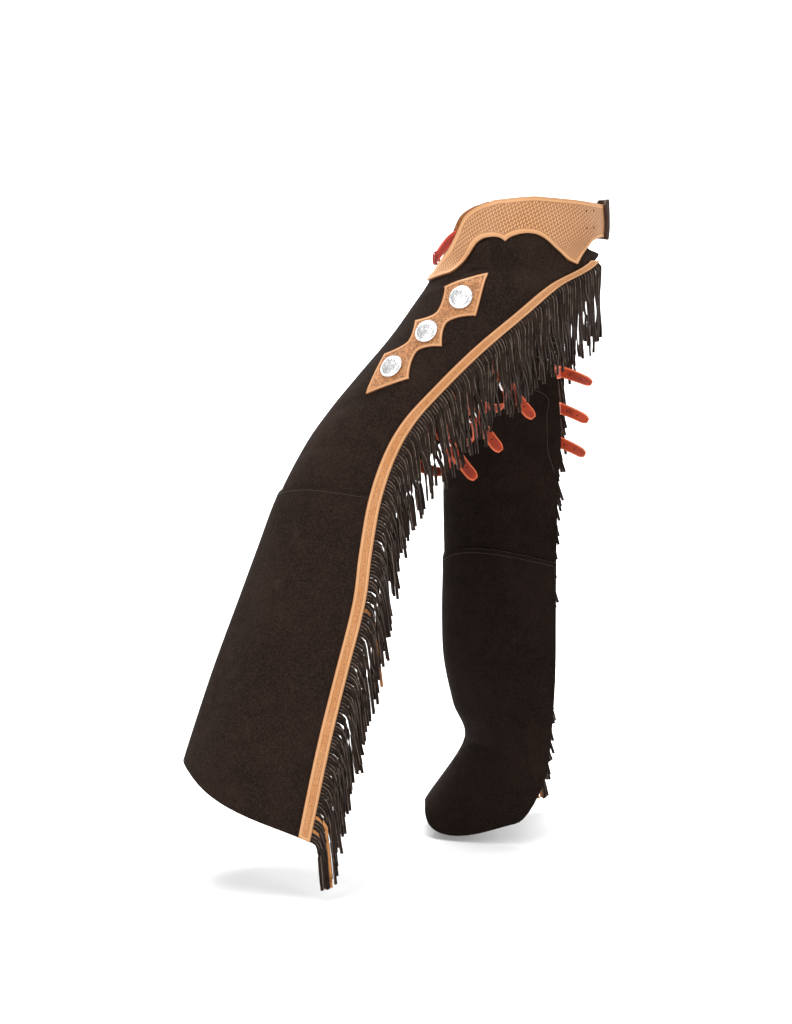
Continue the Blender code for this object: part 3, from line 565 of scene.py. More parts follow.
def suede_finish(name, dark, light, rubbed, shade_between_legs=0.0):
    """Napped suede: clouded, rubbed here and there, with painted shade in soft vertical bands and
    painted shade between the legs.
    """
    f = Finish(name)
    place = f.place()
    clouds = f.noise(place, 9.0, 4.0, 0.6, warp=0.4)
    brushed = f.noise(place, 48.0, 4.0, 0.65, stretch=(1.0, 1.0, 0.75), warp=0.8)
    nap = f.noise(place, 900.0, 2.0, 0.6)
    fine = f.noise(place, 2600.0, 2.0, 0.7)
    tone = f.sum("ADD", f.sum("MULTIPLY", clouds, 0.55), f.sum("MULTIPLY", brushed, 0.45))
    colour = f.mix(f.steps(tone, 0.36, 0.64), dark, light)
    # Painted shade: broad soft bands, long up and down the leg, darken the suede like the shading of
    # its drape.
    broad = f.noise(place, 7.0, 2.0, 0.5, stretch=(1.0, 1.0, 0.3))
    colour = f.mix(f.steps(broad, 0.58, 0.40, 0.0, 0.45), colour, dark)
    worn = f.steps(f.noise(place, 23.0, 5.0, 0.7), 0.56, 0.80, 0.0, 0.22)
    colour = f.mix(worn, colour, rubbed)
    grit = f.noise(place, 330.0, 3.0, 0.7)
    speck = f.sum("MULTIPLY", f.steps(f.sum("ADD", nap, grit), 0.85, 1.35), 0.45)
    colour = f.mix(speck, colour, rubbed)
    # Painted shade between the legs: darker where the suede lies near the middle, between the
    # thighs.
    beside = f.sum("ABSOLUTE", f.node("ShaderNodeSeparateXYZ", Vector=place).outputs[0])
    painted_leg_shade = f.steps(beside, 0.135, 0.085, 0.0, shade_between_legs)
    colour = f.mix(painted_leg_shade, colour, tuple(part * 0.3 for part in dark))
    height = f.sum("ADD", f.sum("MULTIPLY", nap, 0.7), f.sum("MULTIPLY", fine, 0.5))
    normal = f.relief(height, 0.00045)
    normal = f.relief(f.sum("ADD", brushed, clouds), 0.0011, normal)
    roughness = f.steps(nap, 0.3, 0.7, 0.86, 0.98)
    made = f.done(colour, roughness, normal, Sheen_Weight=0.05, Sheen_Roughness=0.5)
    f.shader.inputs["Sheen Tint"].default_value = (*light, 1.0)
    f.shader.inputs["Specular IOR Level"].default_value = 0.08
    return made


def edge_finish(name, core, skin):
    """The cut edge of a piece of leather: pale fibres between darker skins."""
    f = Finish(name)
    place = f.place()
    fibres = f.noise(place, 1400.0, 4.0, 0.7, warp=1.0)
    broad = f.noise(place, 110.0, 3.0, 0.6)
    tone = f.sum("ADD", f.sum("MULTIPLY", fibres, 0.6), f.sum("MULTIPLY", broad, 0.4))
    colour = f.mix(f.steps(tone, 0.38, 0.62), skin, core)
    return f.done(colour, f.steps(fibres, 0.3, 0.7, 0.62, 0.85), f.relief(fibres, 0.0003))


def grain(f, place, pores=650.0):
    """Height of smooth leather's grain: pores and faint wrinkles."""
    cells = f.node("ShaderNodeTexVoronoi", {"feature": "F1"}, Vector=place, Scale=pores)
    wrinkles = f.noise(place, 160.0, 4.0, 0.65, warp=1.2)
    return f.sum("ADD", f.sum("MULTIPLY", cells.outputs["Distance"], 0.6),
                 f.sum("MULTIPLY", wrinkles, 0.5))


def basket_height(f, pattern, wide, tall, tilt):
    """Height of basket stamping: slanting bars, each set between the ends of its neighbours."""
    turned = f.node("ShaderNodeMapping", Vector=pattern, Rotation=(0.0, 0.0, tilt)).outputs[0]
    parts = f.node("ShaderNodeSeparateXYZ", Vector=turned).outputs
    bars = []
    for move in (0.0, 0.5):
        sides = []
        for part, size in ((parts[0], wide), (parts[1], tall)):
            place = f.sum("FRACT", f.sum("ADD", f.sum("DIVIDE", part, size), move))
            sides.append(f.sum("ABSOLUTE", f.sum("SUBTRACT", place, 0.5)))
        bars.append(f.sum("MULTIPLY", f.steps(sides[0], 0.24, 0.11), f.steps(sides[1], 0.40, 0.27)))
    return f.sum("MAXIMUM", bars[0], bars[1])


def tan_colours(f, place, pale, base, deep):
    """Oiled tan leather: clouds of colour, darker where it is handled."""
    clouds = f.noise(place, 16.0, 4.0, 0.6, warp=0.5)
    colour = f.mix(f.steps(clouds, 0.34, 0.66), base, pale)
    marks = f.steps(f.noise(place, 120.0, 5.0, 0.7), 0.58, 0.8, 0.0, 0.5)
    return f.mix(marks, colour, deep)


def yoke_finish(pale, base, deep):
    """Tan leather with basket stamping inside a plain border."""
    f = Finish("basket stamped tan leather")
    place, pattern = f.place(), f.place(True)
    edge = f.value("edge_distance")
    height = basket_height(f, pattern, 0.0062, 0.0092, math.radians(-30))
    inside = f.steps(edge, 0.0073, 0.0085)
    stamped = f.sum("MULTIPLY", height, inside)
    colour = tan_colours(f, place, pale, base, deep)
    hollow = f.sum("MULTIPLY", f.steps(height, 0.55, 0.05), inside)
    colour = f.mix(f.sum("MULTIPLY", hollow, 0.78), colour, deep)
    # Painted highlight: the raised bars are painted paler, partly their own lighter leather and
    # partly light catching their sides.
    crest_and_highlight = f.sum("MULTIPLY", f.steps(height, 0.35, 0.8), inside)
    colour = f.mix(f.sum("MULTIPLY", crest_and_highlight, 0.9), colour, pale)
    colour = f.mix(f.steps(edge, 0.0073, 0.0060, 0.0, 0.6), colour, pale)
    groove = f.sum("ABSOLUTE", f.sum("SUBTRACT", edge, 0.0074))
    line = f.steps(groove, 0.0009, 0.0002)
    outer = f.steps(f.sum("ABSOLUTE", f.sum("SUBTRACT", edge, 0.0026)), 0.0006, 0.0001)
    colour = f.mix(f.sum("MULTIPLY", line, 0.6), colour, deep)
    colour = f.mix(f.sum("MULTIPLY", outer, 0.3), colour, deep)
    # Darker within about a millimetre of the cut edge.
    dark_rim = f.steps(edge, 0.0013, 0.0002, 0.0, 0.7)
    colour = f.mix(dark_rim, colour, deep)
    plain = f.sum("SUBTRACT", 1.0, inside)
    level = f.sum("ADD", f.sum("MULTIPLY", stamped, 0.9), f.sum("MULTIPLY", plain, 0.85))
    level = f.sum("SUBTRACT", level, f.sum("MULTIPLY", line, 0.6))
    level = f.sum("SUBTRACT", level, f.sum("MULTIPLY", outer, 0.25))
    level = f.sum("SUBTRACT", level, f.steps(edge, 0.0016, 0.0, 0.0, 0.9))
    normal = f.relief(level, 0.0011)
    normal = f.relief(grain(f, place), 0.00012, normal)
    roughness = f.steps(f.noise(place, 90.0), 0.3, 0.7, 0.44, 0.58)
    return f.done(colour, roughness, normal, Coat_Weight=0.08, Coat_Roughness=0.35)


def trim_finish(pale, base, deep):
    """The edge trim: a creased border at each edge and a band of fine tooling between."""
    f = Finish("tooled edge trim")
    place, pattern = f.place(), f.place(True)
    edge = f.value("edge_distance")
    colour = tan_colours(f, place, pale, base, deep)
    stipple = f.noise(pattern, 520.0, 2.0, 0.6, stretch=(1.0, 0.7, 1.0), warp=0.6)
    band = f.steps(edge, 0.0050, 0.0058)
    colour = f.mix(f.sum("MULTIPLY", f.sum("SUBTRACT", 1.0, band), 0.75), colour, pale)
    colour = f.mix(f.sum("MULTIPLY", band, 0.55), colour, (0.52, 0.200, 0.048))
    tooled = f.sum("MULTIPLY", f.steps(stipple, 0.48, 0.60), band)
    colour = f.mix(f.sum("MULTIPLY", tooled, 0.55), colour, deep)
    crease = f.steps(f.sum("ABSOLUTE", f.sum("SUBTRACT", edge, 0.0050)), 0.0006, 0.0001)
    colour = f.mix(f.sum("MULTIPLY", crease, 0.55), colour, deep)
    # Darker within about a millimetre of the cut edge.
    dark_rim = f.steps(edge, 0.0013, 0.0002, 0.0, 0.7)
    colour = f.mix(dark_rim, colour, deep)
    level = f.sum("SUBTRACT", f.steps(edge, 0.0, 0.0018), f.sum("MULTIPLY", crease, 0.55))
    level = f.sum("SUBTRACT", level, f.sum("MULTIPLY", tooled, 0.35))
    normal = f.relief(level, 0.0009)
    normal = f.relief(grain(f, place), 0.00012, normal)
    roughness = f.steps(f.noise(place, 90.0), 0.3, 0.7, 0.42, 0.56)
    return f.done(colour, roughness, normal, Coat_Weight=0.08, Coat_Roughness=0.35)


def carved_finish(pale, base, deep):
    """Carved leaves and stems on a matted ground, inside a smooth bevelled border."""
    f = Finish("carved tan leather")
    place, pattern = f.place(), f.place(True)
    edge = f.value("edge_distance")
    stems = f.noise(pattern, 140.0, 1.5, 0.5, warp=2.6)
    leaves = f.noise(pattern, 240.0, 2.0, 0.55, warp=1.2)
    cut = f.steps(f.sum("ABSOLUTE", f.sum("SUBTRACT", stems, 0.5)), 0.055, 0.012)
    ground = f.steps(leaves, 0.47, 0.38)
    inside = f.steps(edge, 0.0040, 0.0049)
    colour = tan_colours(f, place, pale, base, deep)
    colour = f.mix(f.sum("MULTIPLY", inside, 0.65), colour, (0.54, 0.195, 0.045))
    colour = f.mix(f.sum("MULTIPLY", f.sum("SUBTRACT", 1.0, inside), 0.6), colour, pale)
    colour = f.mix(f.sum("MULTIPLY", f.sum("MULTIPLY", ground, inside), 0.72), colour, deep)
    colour = f.mix(f.sum("MULTIPLY", f.sum("MULTIPLY", cut, inside), 0.88), colour,
                   (0.12, 0.045, 0.012))
    # Painted highlight: the leaf tops are painted paler, partly their own lighter leather and partly
    # light falling on them.
    crest_and_highlight = f.sum("MULTIPLY", f.steps(leaves, 0.53, 0.62), inside)
    colour = f.mix(f.sum("MULTIPLY", crest_and_highlight, 0.55), colour, pale)
    groove = f.steps(f.sum("ABSOLUTE", f.sum("SUBTRACT", edge, 0.0040)), 0.0008, 0.0002)
    colour = f.mix(f.sum("MULTIPLY", groove, 0.6), colour, deep)
    colour = f.mix(f.steps(edge, 0.0013, 0.0002, 0.0, 0.7), colour, deep)
    level = f.sum("SUBTRACT", f.steps(leaves, 0.38, 0.60), cut)
    level = f.sum("MULTIPLY", level, f.sum("MULTIPLY", inside, 0.6))
    plain = f.sum("MULTIPLY", f.sum("SUBTRACT", 1.0, inside), f.steps(edge, 0.0, 0.0034))
    level = f.sum("SUBTRACT", f.sum("ADD", level, plain), f.sum("MULTIPLY", groove, 0.4))
    normal = f.relief(level, 0.0011)
    normal = f.relief(grain(f, place), 0.0001, normal)
    roughness = f.steps(f.noise(place, 90.0), 0.3, 0.7, 0.46, 0.60)
    return f.done(colour, roughness, normal, Coat_Weight=0.05, Coat_Roughness=0.4)


def strap_finish(name, base, deep, rubbed, holes_from=0.0, holes=0, pitch=0.02, rough=0.55,
                 gloss=0.22):
    """Oiled strap leather with rubbed borders, a creased line and punched holes."""
    f = Finish(name)
    place, pattern = f.place(), f.place(True)
    edge = f.value("edge_distance")
    clouds = f.noise(place, 38.0, 4.0, 0.6, warp=0.5)
    colour = f.mix(f.steps(clouds, 0.35, 0.65), deep, base)
    marks = f.steps(f.noise(place, 190.0, 5.0, 0.7), 0.55, 0.8, 0.0, 0.35)
    colour = f.mix(marks, colour, deep)
    worn = f.steps(edge, 0.0028, 0.0018, 0.0, 0.85)
    colour = f.mix(worn, colour, rubbed)
    crease = f.steps(f.sum("ABSOLUTE", f.sum("SUBTRACT", edge, 0.0031)), 0.0006, 0.0001)
    colour = f.mix(f.sum("MULTIPLY", crease, 0.5), colour, deep)
    level = f.sum("SUBTRACT", f.steps(edge, 0.0, 0.0016), f.sum("MULTIPLY", crease, 0.5))
    if holes:
        parts = f.node("ShaderNodeSeparateXYZ", Vector=pattern).outputs
        along = f.sum("SUBTRACT", parts[1], holes_from)
        step = f.sum("SUBTRACT", f.sum("MODULO", along, pitch), pitch / 2)
        far = f.sum("POWER", f.sum("ADD", f.sum("MULTIPLY", step, step),
                                   f.sum("MULTIPLY", parts[0], parts[0])), 0.5)
        hole = f.sum("MULTIPLY", f.steps(far, 0.0017, 0.0012), f.steps(along, 0.0, 0.0001))
        hole = f.sum("MULTIPLY", hole, f.steps(along, holes * pitch, holes * pitch - 0.0001))
        colour = f.mix(hole, colour, (0.02, 0.008, 0.005))
        level = f.sum("SUBTRACT", level, hole)
    normal = f.relief(level, 0.0009)
    normal = f.relief(grain(f, place), 0.00010, normal)
    roughness = f.steps(clouds, 0.3, 0.7, rough - 0.05, rough + 0.08)
    f.shader.inputs["Specular IOR Level"].default_value = gloss
    return f.done(colour, roughness, normal)


def silver_finish():
    """Engraved silver plate: a sunburst of petals, rings and a darkened engraved line."""
    f = Finish("engraved silver")
    pattern = f.place(True)
    parts = f.node("ShaderNodeSeparateXYZ", Vector=pattern).outputs
    far = f.sum("POWER", f.sum("ADD", f.sum("MULTIPLY", parts[0], parts[0]),
                               f.sum("MULTIPLY", parts[1], parts[1])), 0.5)
    turn = f.sum("ARCTAN2", parts[1], parts[0])
    petals = f.sum("ABSOLUTE", f.sum("SINE", f.sum("MULTIPLY", turn, 4.0)))
    rays = f.sum("ABSOLUTE", f.sum("SINE", f.sum("MULTIPLY", turn, 12.0)))
    reach = f.sum("MULTIPLY", f.sum("POWER", petals, 0.6), 0.0052)
    petal_line = f.sum("ABSOLUTE", f.sum("SUBTRACT", far, f.sum("ADD", reach, 0.0055)))
    cut = f.steps(petal_line, 0.0009, 0.0004)
    within = f.steps(f.sum("SUBTRACT", far, f.sum("ADD", reach, 0.0055)), 0.0004, -0.0004)
    ray_cut = f.sum("MULTIPLY", f.steps(rays, 0.50, 0.20), within)
    ray_cut = f.sum("MULTIPLY", ray_cut, f.steps(far, 0.0018, 0.0034))
    heart = f.steps(f.sum("ABSOLUTE", f.sum("SUBTRACT", far, 0.0021)), 0.0005, 0.0001)
    ring = f.steps(f.sum("ABSOLUTE", f.sum("SUBTRACT", far, 0.0139)), 0.0007, 0.0002)
    cut = f.sum("MAXIMUM", cut, f.sum("MAXIMUM", ray_cut, f.sum("MAXIMUM", heart, ring)))
    stain = f.sum("MULTIPLY", cut, f.steps(f.noise(f.place(), 260.0), 0.32, 0.60, 0.30, 0.95))
    colour = f.mix(stain, (0.88, 0.88, 0.89), (0.07, 0.07, 0.08))
    roughness = f.sum("ADD", f.steps(f.noise(f.place(), 160.0), 0.3, 0.7, 0.20, 0.32),
                      f.sum("MULTIPLY", cut, 0.3))
    normal = f.relief(f.sum("SUBTRACT", 1.0, cut), 0.0003)
    return f.done(colour, roughness, normal, Metallic=1.0)


def metal_finish(name, colour, rough):
    """Nickel-plated metal with faint wear and hairlines."""
    f = Finish(name)
    place = f.place()
    wear = f.noise(place, 260.0, 4.0, 0.7)
    lines = f.noise(place, 900.0, 2.0, 0.6, stretch=(1.0, 1.0, 0.1))
    tone = f.mix(f.steps(wear, 0.52, 0.75, 0.0, 0.5), colour, tuple(c * 0.55 for c in colour))
    roughness = f.steps(f.sum("ADD", wear, lines), 0.7, 1.3, rough, rough + 0.18)
    return f.done(tone, roughness, f.relief(lines, 0.00005), Metallic=1.0)


def thread_finish(name, colour, dark):
    """Waxed thread with the twist of its plies."""
    f = Finish(name)
    place = f.place()
    twist = f.noise(place, 1500.0, 2.0, 0.6)
    tone = f.mix(f.steps(twist, 0.35, 0.65), dark, colour)
    return f.done(tone, 0.7, f.relief(twist, 0.0002), Sheen_Weight=0.15)


def fringe_finish(name, dark, light, rubbed):
    """Cut suede strands, with a painted highlight: a paler border down one edge of each strand."""
    f = Finish(name)
    place = f.place()
    edge = f.value("edge_distance")
    clouds = f.noise(place, 30.0, 4.0, 0.65, warp=0.6)
    nap = f.noise(place, 1100.0, 2.0, 0.6)
    colour = f.mix(f.steps(clouds, 0.36, 0.64), dark, light)
    # Painted highlight: a pale border down one edge of each strand only, broken up by noise.
    upper = f.node("ShaderNodeSeparateXYZ", Vector=f.place(True)).outputs[0]
    border = f.sum("MULTIPLY", f.steps(edge, 0.0010, 0.0004), f.steps(upper, 0.0, -0.0004))
    border = f.sum("MULTIPLY", border, f.steps(f.noise(place, 75.0, 3.0), 0.36, 0.56, 0.15, 1.0))
    colour = f.mix(border, colour, rubbed)
    colour = f.mix(f.sum("MULTIPLY", f.steps(nap, 0.4, 0.8), 0.2), colour, rubbed)
    normal = f.relief(nap, 0.0004)
    made = f.done(colour, 0.9, normal, Sheen_Weight=0.05, Sheen_Roughness=0.5)
    f.shader.inputs["Sheen Tint"].default_value = (*light, 1.0)
    f.shader.inputs["Specular IOR Level"].default_value = 0.07
    return made


def floor_finish(colour):
    """Matt studio paper."""
    f = Finish("studio paper")
    fibres = f.noise(f.place(), 40.0, 5.0, 0.6)
    darker = tuple(c * 0.985 for c in colour)
    return f.done(f.mix(fibres, darker, colour), 0.95, f.relief(fibres, 0.0002))


def smooth_line(points, step, corners=()):
    """Points every so many metres on one smooth curve that stays sharp at these corners."""
    points = np.asarray(points, float)
    stops = [0, *corners, len(points) - 1]
    runs = []
    for first, last in zip(stops, stops[1:]):
        part = points[first : last + 1]
        fine = catmull_rom(part, np.linspace(0, last - first, 24 * (last - first) + 1))
        gone = np.concatenate(([0], np.cumsum(np.linalg.norm(np.diff(fine, axis=0), axis=1))))
        count = max(int(round(gone[-1] / step)), 2)
        wanted = np.linspace(0, gone[-1], count + 1)
        runs.append(np.stack([np.interp(wanted, gone, c) for c in fine.T], axis=-1)[:-1])
    runs.append(points[-1:])
    return np.concatenate(runs)


def outline_distance(pattern):
    """How far each place of a flat grid lies from the grid's outline."""
    rim = np.concatenate((pattern[:, 0], pattern[-1, 1:], pattern[-2::-1, -1], pattern[0, -2::-1]))
    flat = pattern.reshape(-1, 2)
    far = np.full(len(flat), 1e9)
    for a, b in zip(rim, rim[1:]):
        way = b - a
        share = np.clip((flat - a) @ way / max(way @ way, 1e-12), 0, 1)
        far = np.minimum(far, np.linalg.norm(flat - a - share[:, None] * way, axis=1))
    return far.reshape(pattern.shape[:2])


def sheet_mesh(name, columns, lines):
    """A closed thin sheet, still flat: a grid and its copy pushed out, joined by a rim.

    Each corner carries its place in the grid, counted on by one whole grid on the outer face.
    """
    bm = bmesh.new()
    bmesh.ops.create_grid(bm, x_segments=columns - 1, y_segments=lines - 1, size=0.5)
    place = bm.verts.layers.int.new("place")
    for v in bm.verts:
        i, j = round((v.co.x + 0.5) * (columns - 1)), round((v.co.y + 0.5) * (lines - 1))
        v[place] = i * lines + j
    made = bmesh.ops.extrude_face_region(bm, geom=bm.faces[:], use_keep_orig=True)
    for v in made["geom"]:
        if isinstance(v, bmesh.types.BMVert):
            v[place] += columns * lines
            v.co.z = 0.01
    bmesh.ops.recalc_face_normals(bm, faces=bm.faces[:])
    for face in bm.faces:
        outer = sum(v[place] >= columns * lines for v in face.verts)
        face.material_index = {4: 0, 0: 1}.get(outer, 2)
        face.smooth = True
    made = bpy.data.meshes.new(name)
    bm.to_mesh(made)
    bm.free()
    return made


def corner_values(made, key):
    values = np.empty(len(made.vertices), np.int32)
    made.attributes[key].data.foreach_get("value", values)
    return values


def finish_mesh(name, made, positions, pattern, edge, finishes, turn=False):
    """Puts the corners in place, with the flat pattern and edge distance stored on them."""
    made.vertices.foreach_set("co", positions.astype(np.float32).ravel())
    loops = np.empty(len(made.loops), np.int32)
    made.loops.foreach_get("vertex_index", loops)
    layer = made.uv_layers.new(name="pattern")
    layer.uv.foreach_set("vector", pattern[loops].astype(np.float32).ravel())
    stored = made.attributes.new("edge_distance", "FLOAT", "POINT")
    stored.data.foreach_set("value", edge.astype(np.float32))
    if "place" in made.attributes:
        made.attributes.remove(made.attributes["place"])
    made.update()
    if turn:
        made.flip_normals()
    made.set_sharp_from_angle(angle=math.radians(48))
    for finish in finishes:
        made.materials.append(finish)
    piece = bpy.data.objects.new(name, made)
    bpy.context.scene.collection.objects.link(piece)
    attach(piece, "root")
    return piece


def face_out(made, positions):
    """Whether the faces, once the corners are in place, point into the sheet."""
    made.vertices.foreach_set("co", positions.astype(np.float32).ravel())
    bm = bmesh.new()
    bm.from_mesh(made)
    inside_out = bm.calc_volume(signed=True) < 0
    bm.free()
    return inside_out


def shell(name, inside, outside, pattern, finishes, edge=None):
    """A sheet of leather between two grids of points, laid out on its flat pattern."""
    columns, lines = inside.shape[:2]
    made = sheet_mesh(name, columns, lines)
    place = corner_values(made, "place")
    both = np.concatenate((inside.reshape(-1, 3), outside.reshape(-1, 3)))
    flat = np.concatenate((pattern.reshape(-1, 2),) * 2)
    edge = outline_distance(pattern) if edge is None else edge
    edges = np.concatenate((edge.ravel(),) * 2)
    positions = both[place]
    turn = face_out(made, positions)
    return finish_mesh(name, made, positions, flat[place], edges[place], finishes, turn)


def laid(name, side, across, row, out, thick, finishes, pattern=None, edge=None):
    """A sheet that lies on the pattern surface at these places."""
    across, row = spread(across, row)
    inside = side.point(across, row, out)
    outside = side.point(across, row, np.asarray(out) + thick)
    pattern = flat_place(side, across, row) if pattern is None else pattern
    return shell(name, inside, outside, pattern, finishes, edge)


FLAT_TABLES = {}


def flat_place(side, across, row):
    """Where places lie on the flat cut: metres round from the front, and metres down."""
    if side.name not in FLAT_TABLES:
        a, r = np.meshgrid(np.linspace(-1.1, 1.1, 221), np.linspace(0, 15, 301), indexing="ij")
        points = side.plain(a, r)
        round_way = np.linalg.norm(np.diff(points, axis=0), axis=-1)
        round_way = np.concatenate((np.zeros((1, 301)), np.cumsum(round_way, axis=0)))
        down_way = np.linalg.norm(np.diff(points, axis=1), axis=-1)
        down_way = np.concatenate((np.zeros((221, 1)), np.cumsum(down_way, axis=1)), axis=1)
        FLAT_TABLES[side.name] = (round_way - round_way[110], down_way)
    i = np.clip((across + 1.1) / 0.01, 0, 219.999)
    j = np.clip(row / 0.05, 0, 299.999)
    i0, j0 = i.astype(int), j.astype(int)
    s, t = i - i0, j - j0

    def read(table):
        near = table[i0, j0] * (1 - t) + table[i0, j0 + 1] * t
        return near * (1 - s) + (table[i0 + 1, j0] * (1 - t) + table[i0 + 1, j0 + 1] * t) * s

    return np.stack([read(table) for table in FLAT_TABLES[side.name]], axis=-1)


def copies(name, template, count):
    """One mesh that holds the template this many times."""
    bm = bmesh.new()
    for _ in range(count):
        bm.from_mesh(template)
    made = bpy.data.meshes.new(name)
    bm.to_mesh(made)
    bm.free()
    return made


def beads(name, centres, alongs, normals, size, finish):
    """A small rounded bead at each centre, as stitches or screw heads."""
    bm = bmesh.new()
    bmesh.ops.create_uvsphere(bm, u_segments=6, v_segments=4, radius=0.5)
    for face in bm.faces:
        face.smooth = True
    template = bpy.data.meshes.new("bead")
    bm.to_mesh(template)
    shape = np.array([v.co[:] for v in bm.verts]) * np.array(size)
    bm.free()
    alongs, normals = unit(alongs), unit(normals)
    side_way = unit(np.cross(normals, alongs))
    normals = np.cross(alongs, side_way)
    frames = np.stack((alongs, side_way, normals), axis=1)
    made = copies(name, template, len(centres))
    bpy.data.meshes.remove(template)
    positions = (centres[:, None, :] + np.einsum("vk,nkc->nvc", shape, frames)).reshape(-1, 3)
    pattern = np.tile(shape[:, :2], (len(centres), 1))
    piece = finish_mesh(name, made, positions, pattern, np.zeros(len(positions)), (finish,))
    return piece


def sewing(name, side, line, out, finish):
    """A row of stitches over the surface along a line of (across, row) places."""
    pitch, length = sizes().stitch_pitch, sizes().stitch_length
    line = np.asarray(line, float)
    points = side.point(line[:, 0], line[:, 1], out)
    gone = np.concatenate(([0], np.cumsum(np.linalg.norm(np.diff(points, axis=0), axis=1))))
    wanted = np.arange(pitch / 2, gone[-1], pitch)
    across = np.interp(wanted, gone, line[:, 0])
    row = np.interp(wanted, gone, line[:, 1])
    lift = np.interp(wanted, gone, np.broadcast_to(out, gone.shape))
    centres = side.point(across, row, lift)
    alongs = np.stack([np.interp(wanted + 0.0005, gone, c) for c in points.T], axis=-1)
    alongs -= np.stack([np.interp(wanted - 0.0005, gone, c) for c in points.T], axis=-1)
    normals = side.direction(across, row)
    return beads(name, centres, alongs, normals, (length, 0.0008, 0.0006), finish)


def pair_of(finishes, *names):
    return tuple(finishes[n] for n in names)


def leg_leather(side, finishes):
    """The upper and lower leg panels, with the row of sewing along the knee seam."""
    count = 96
    share = np.linspace(0, 1, count)[:, None]
    strip = side.inward(np.array(HEM_ROW / 2), STRIP_WIDTH + 0.0016)
    guess = -1 + share * (strip + 1)
    seen = ("suede", "flesh", "cut_edge")
    for part, lines in (("upper", 120), ("lower", 96)):
        top = leg_top(guess) if part == "upper" else seam(guess)
        bottom = seam(guess) + SEAM_LAP if part == "upper" else hem(side, guess)
        row = top + (bottom - top) * np.linspace(0, 1, lines)[None, :]
        across = -1 + share * (side.inward(row, STRIP_WIDTH + 0.0016) + 1)
        out = 0.0 if part == "upper" else LAYER
        name = f"{side.name}_leg_{part}"
        piece = laid(name + "_suede", side, across, row, out, SUEDE, pair_of(finishes, *seen))
        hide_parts(name)
        declare_sheet(side.point(across, row, out + SUEDE / 2))
        ease = np.linspace(-0.985, float(strip) - 0.01, 200)
        if part == "lower":
            line = np.stack((ease, seam(ease) + 0.055), axis=-1)
            sewing(f"{side.name}_knee_sewing", side, line, LAYER + SUEDE + 0.0001,
                   finishes["brown_thread"])


def declare_sheet(middle):
    """Measures a sheet's area and size from its middle surface, and keeps neither."""
    a, b = middle[:-1, :-1], middle[1:, 1:]
    c, d = middle[1:, :-1], middle[:-1, 1:]
    area = np.linalg.norm(np.cross(b - a, d - c), axis=-1).sum() / 2
    across = np.linalg.norm(np.diff(middle, axis=0), axis=-1).sum(axis=0).max()
    down = np.linalg.norm(np.diff(middle, axis=1), axis=-1).sum(axis=1).max()
    size = (round(float(across), 4), round(float(down), 4))
    area = min(round(float(area), 5), round(size[0] * size[1], 5))


def yoke_lines(side):
    """The yoke's upper and lower edges as places on the pattern, in step with each other."""
    lower = [on_pattern(line.low_y, line.low_z) for line in YOKE_LINES]
    heights = [np.interp(line.high_y, [p.y for p in YOKE_UPPER], [p.z for p in YOKE_UPPER])
               for line in YOKE_LINES]
    upper = [on_pattern(line.high_y, float(z)) for line, z in zip(YOKE_LINES, heights)]
    lower = np.array([YOKE_FRONT[1], *lower, YOKE_BACK[1]])
    upper = np.array([YOKE_FRONT[0], *upper, YOKE_BACK[0]])
    joined = np.concatenate((upper, lower), axis=1)
    parts = []
    stops = [0, YOKE_CUSP, YOKE_POINT, len(lower) - 1]
    for first, last in zip(stops, stops[1:]):
        fine = catmull_rom(joined[first : last + 1], np.linspace(0, last - first, 400))
        points = side.plain(fine[:, 2], fine[:, 3]), side.plain(fine[:, 0], fine[:, 1])
        gone = sum(np.linalg.norm(np.diff(p, axis=0), axis=1) for p in points) / 2
        gone = np.concatenate(([0], np.cumsum(gone)))
        wanted = np.linspace(0, gone[-1], max(int(gone[-1] / 0.0024), 3) + 1)
        parts.append(np.stack([np.interp(wanted, gone, c) for c in fine.T], axis=-1)[:-1])
    parts.append(joined[-1:])
    return np.concatenate(parts)


# Places in the yoke's table where its lower edge comes to a point.
YOKE_CUSP = 9
YOKE_POINT = 17


def hip_yoke(side, finishes):
    lines = yoke_lines(side)
    share = np.linspace(0, 1, 34)[None, :]
    across = lines[:, 0:1] + (lines[:, 2:3] - lines[:, 0:1]) * share
    row = lines[:, 1:2] + (lines[:, 3:4] - lines[:, 1:2]) * share
    seen = pair_of(finishes, "stamped", "tan_back", "tan_edge")
    name = f"{side.name}_yoke"
    piece = laid(name + "_stamped", side, across, row, YOKE_SEAT, YOKE_THICK, seen)
    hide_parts(name)
    middle = side.point(across, row, YOKE_SEAT + YOKE_THICK / 2)
    declare_sheet(middle)
    inset = 0.055
    sewn = np.stack((across, row), axis=-1)[2:-2]
    line = sewn[:, -1] + (sewn[:, 0] - sewn[:, -1]) * inset
    sewing(f"{side.name}_yoke_sewing", side, line, YOKE_SEAT + YOKE_THICK - 0.0001,
           finishes["tan_thread"])
    return piece


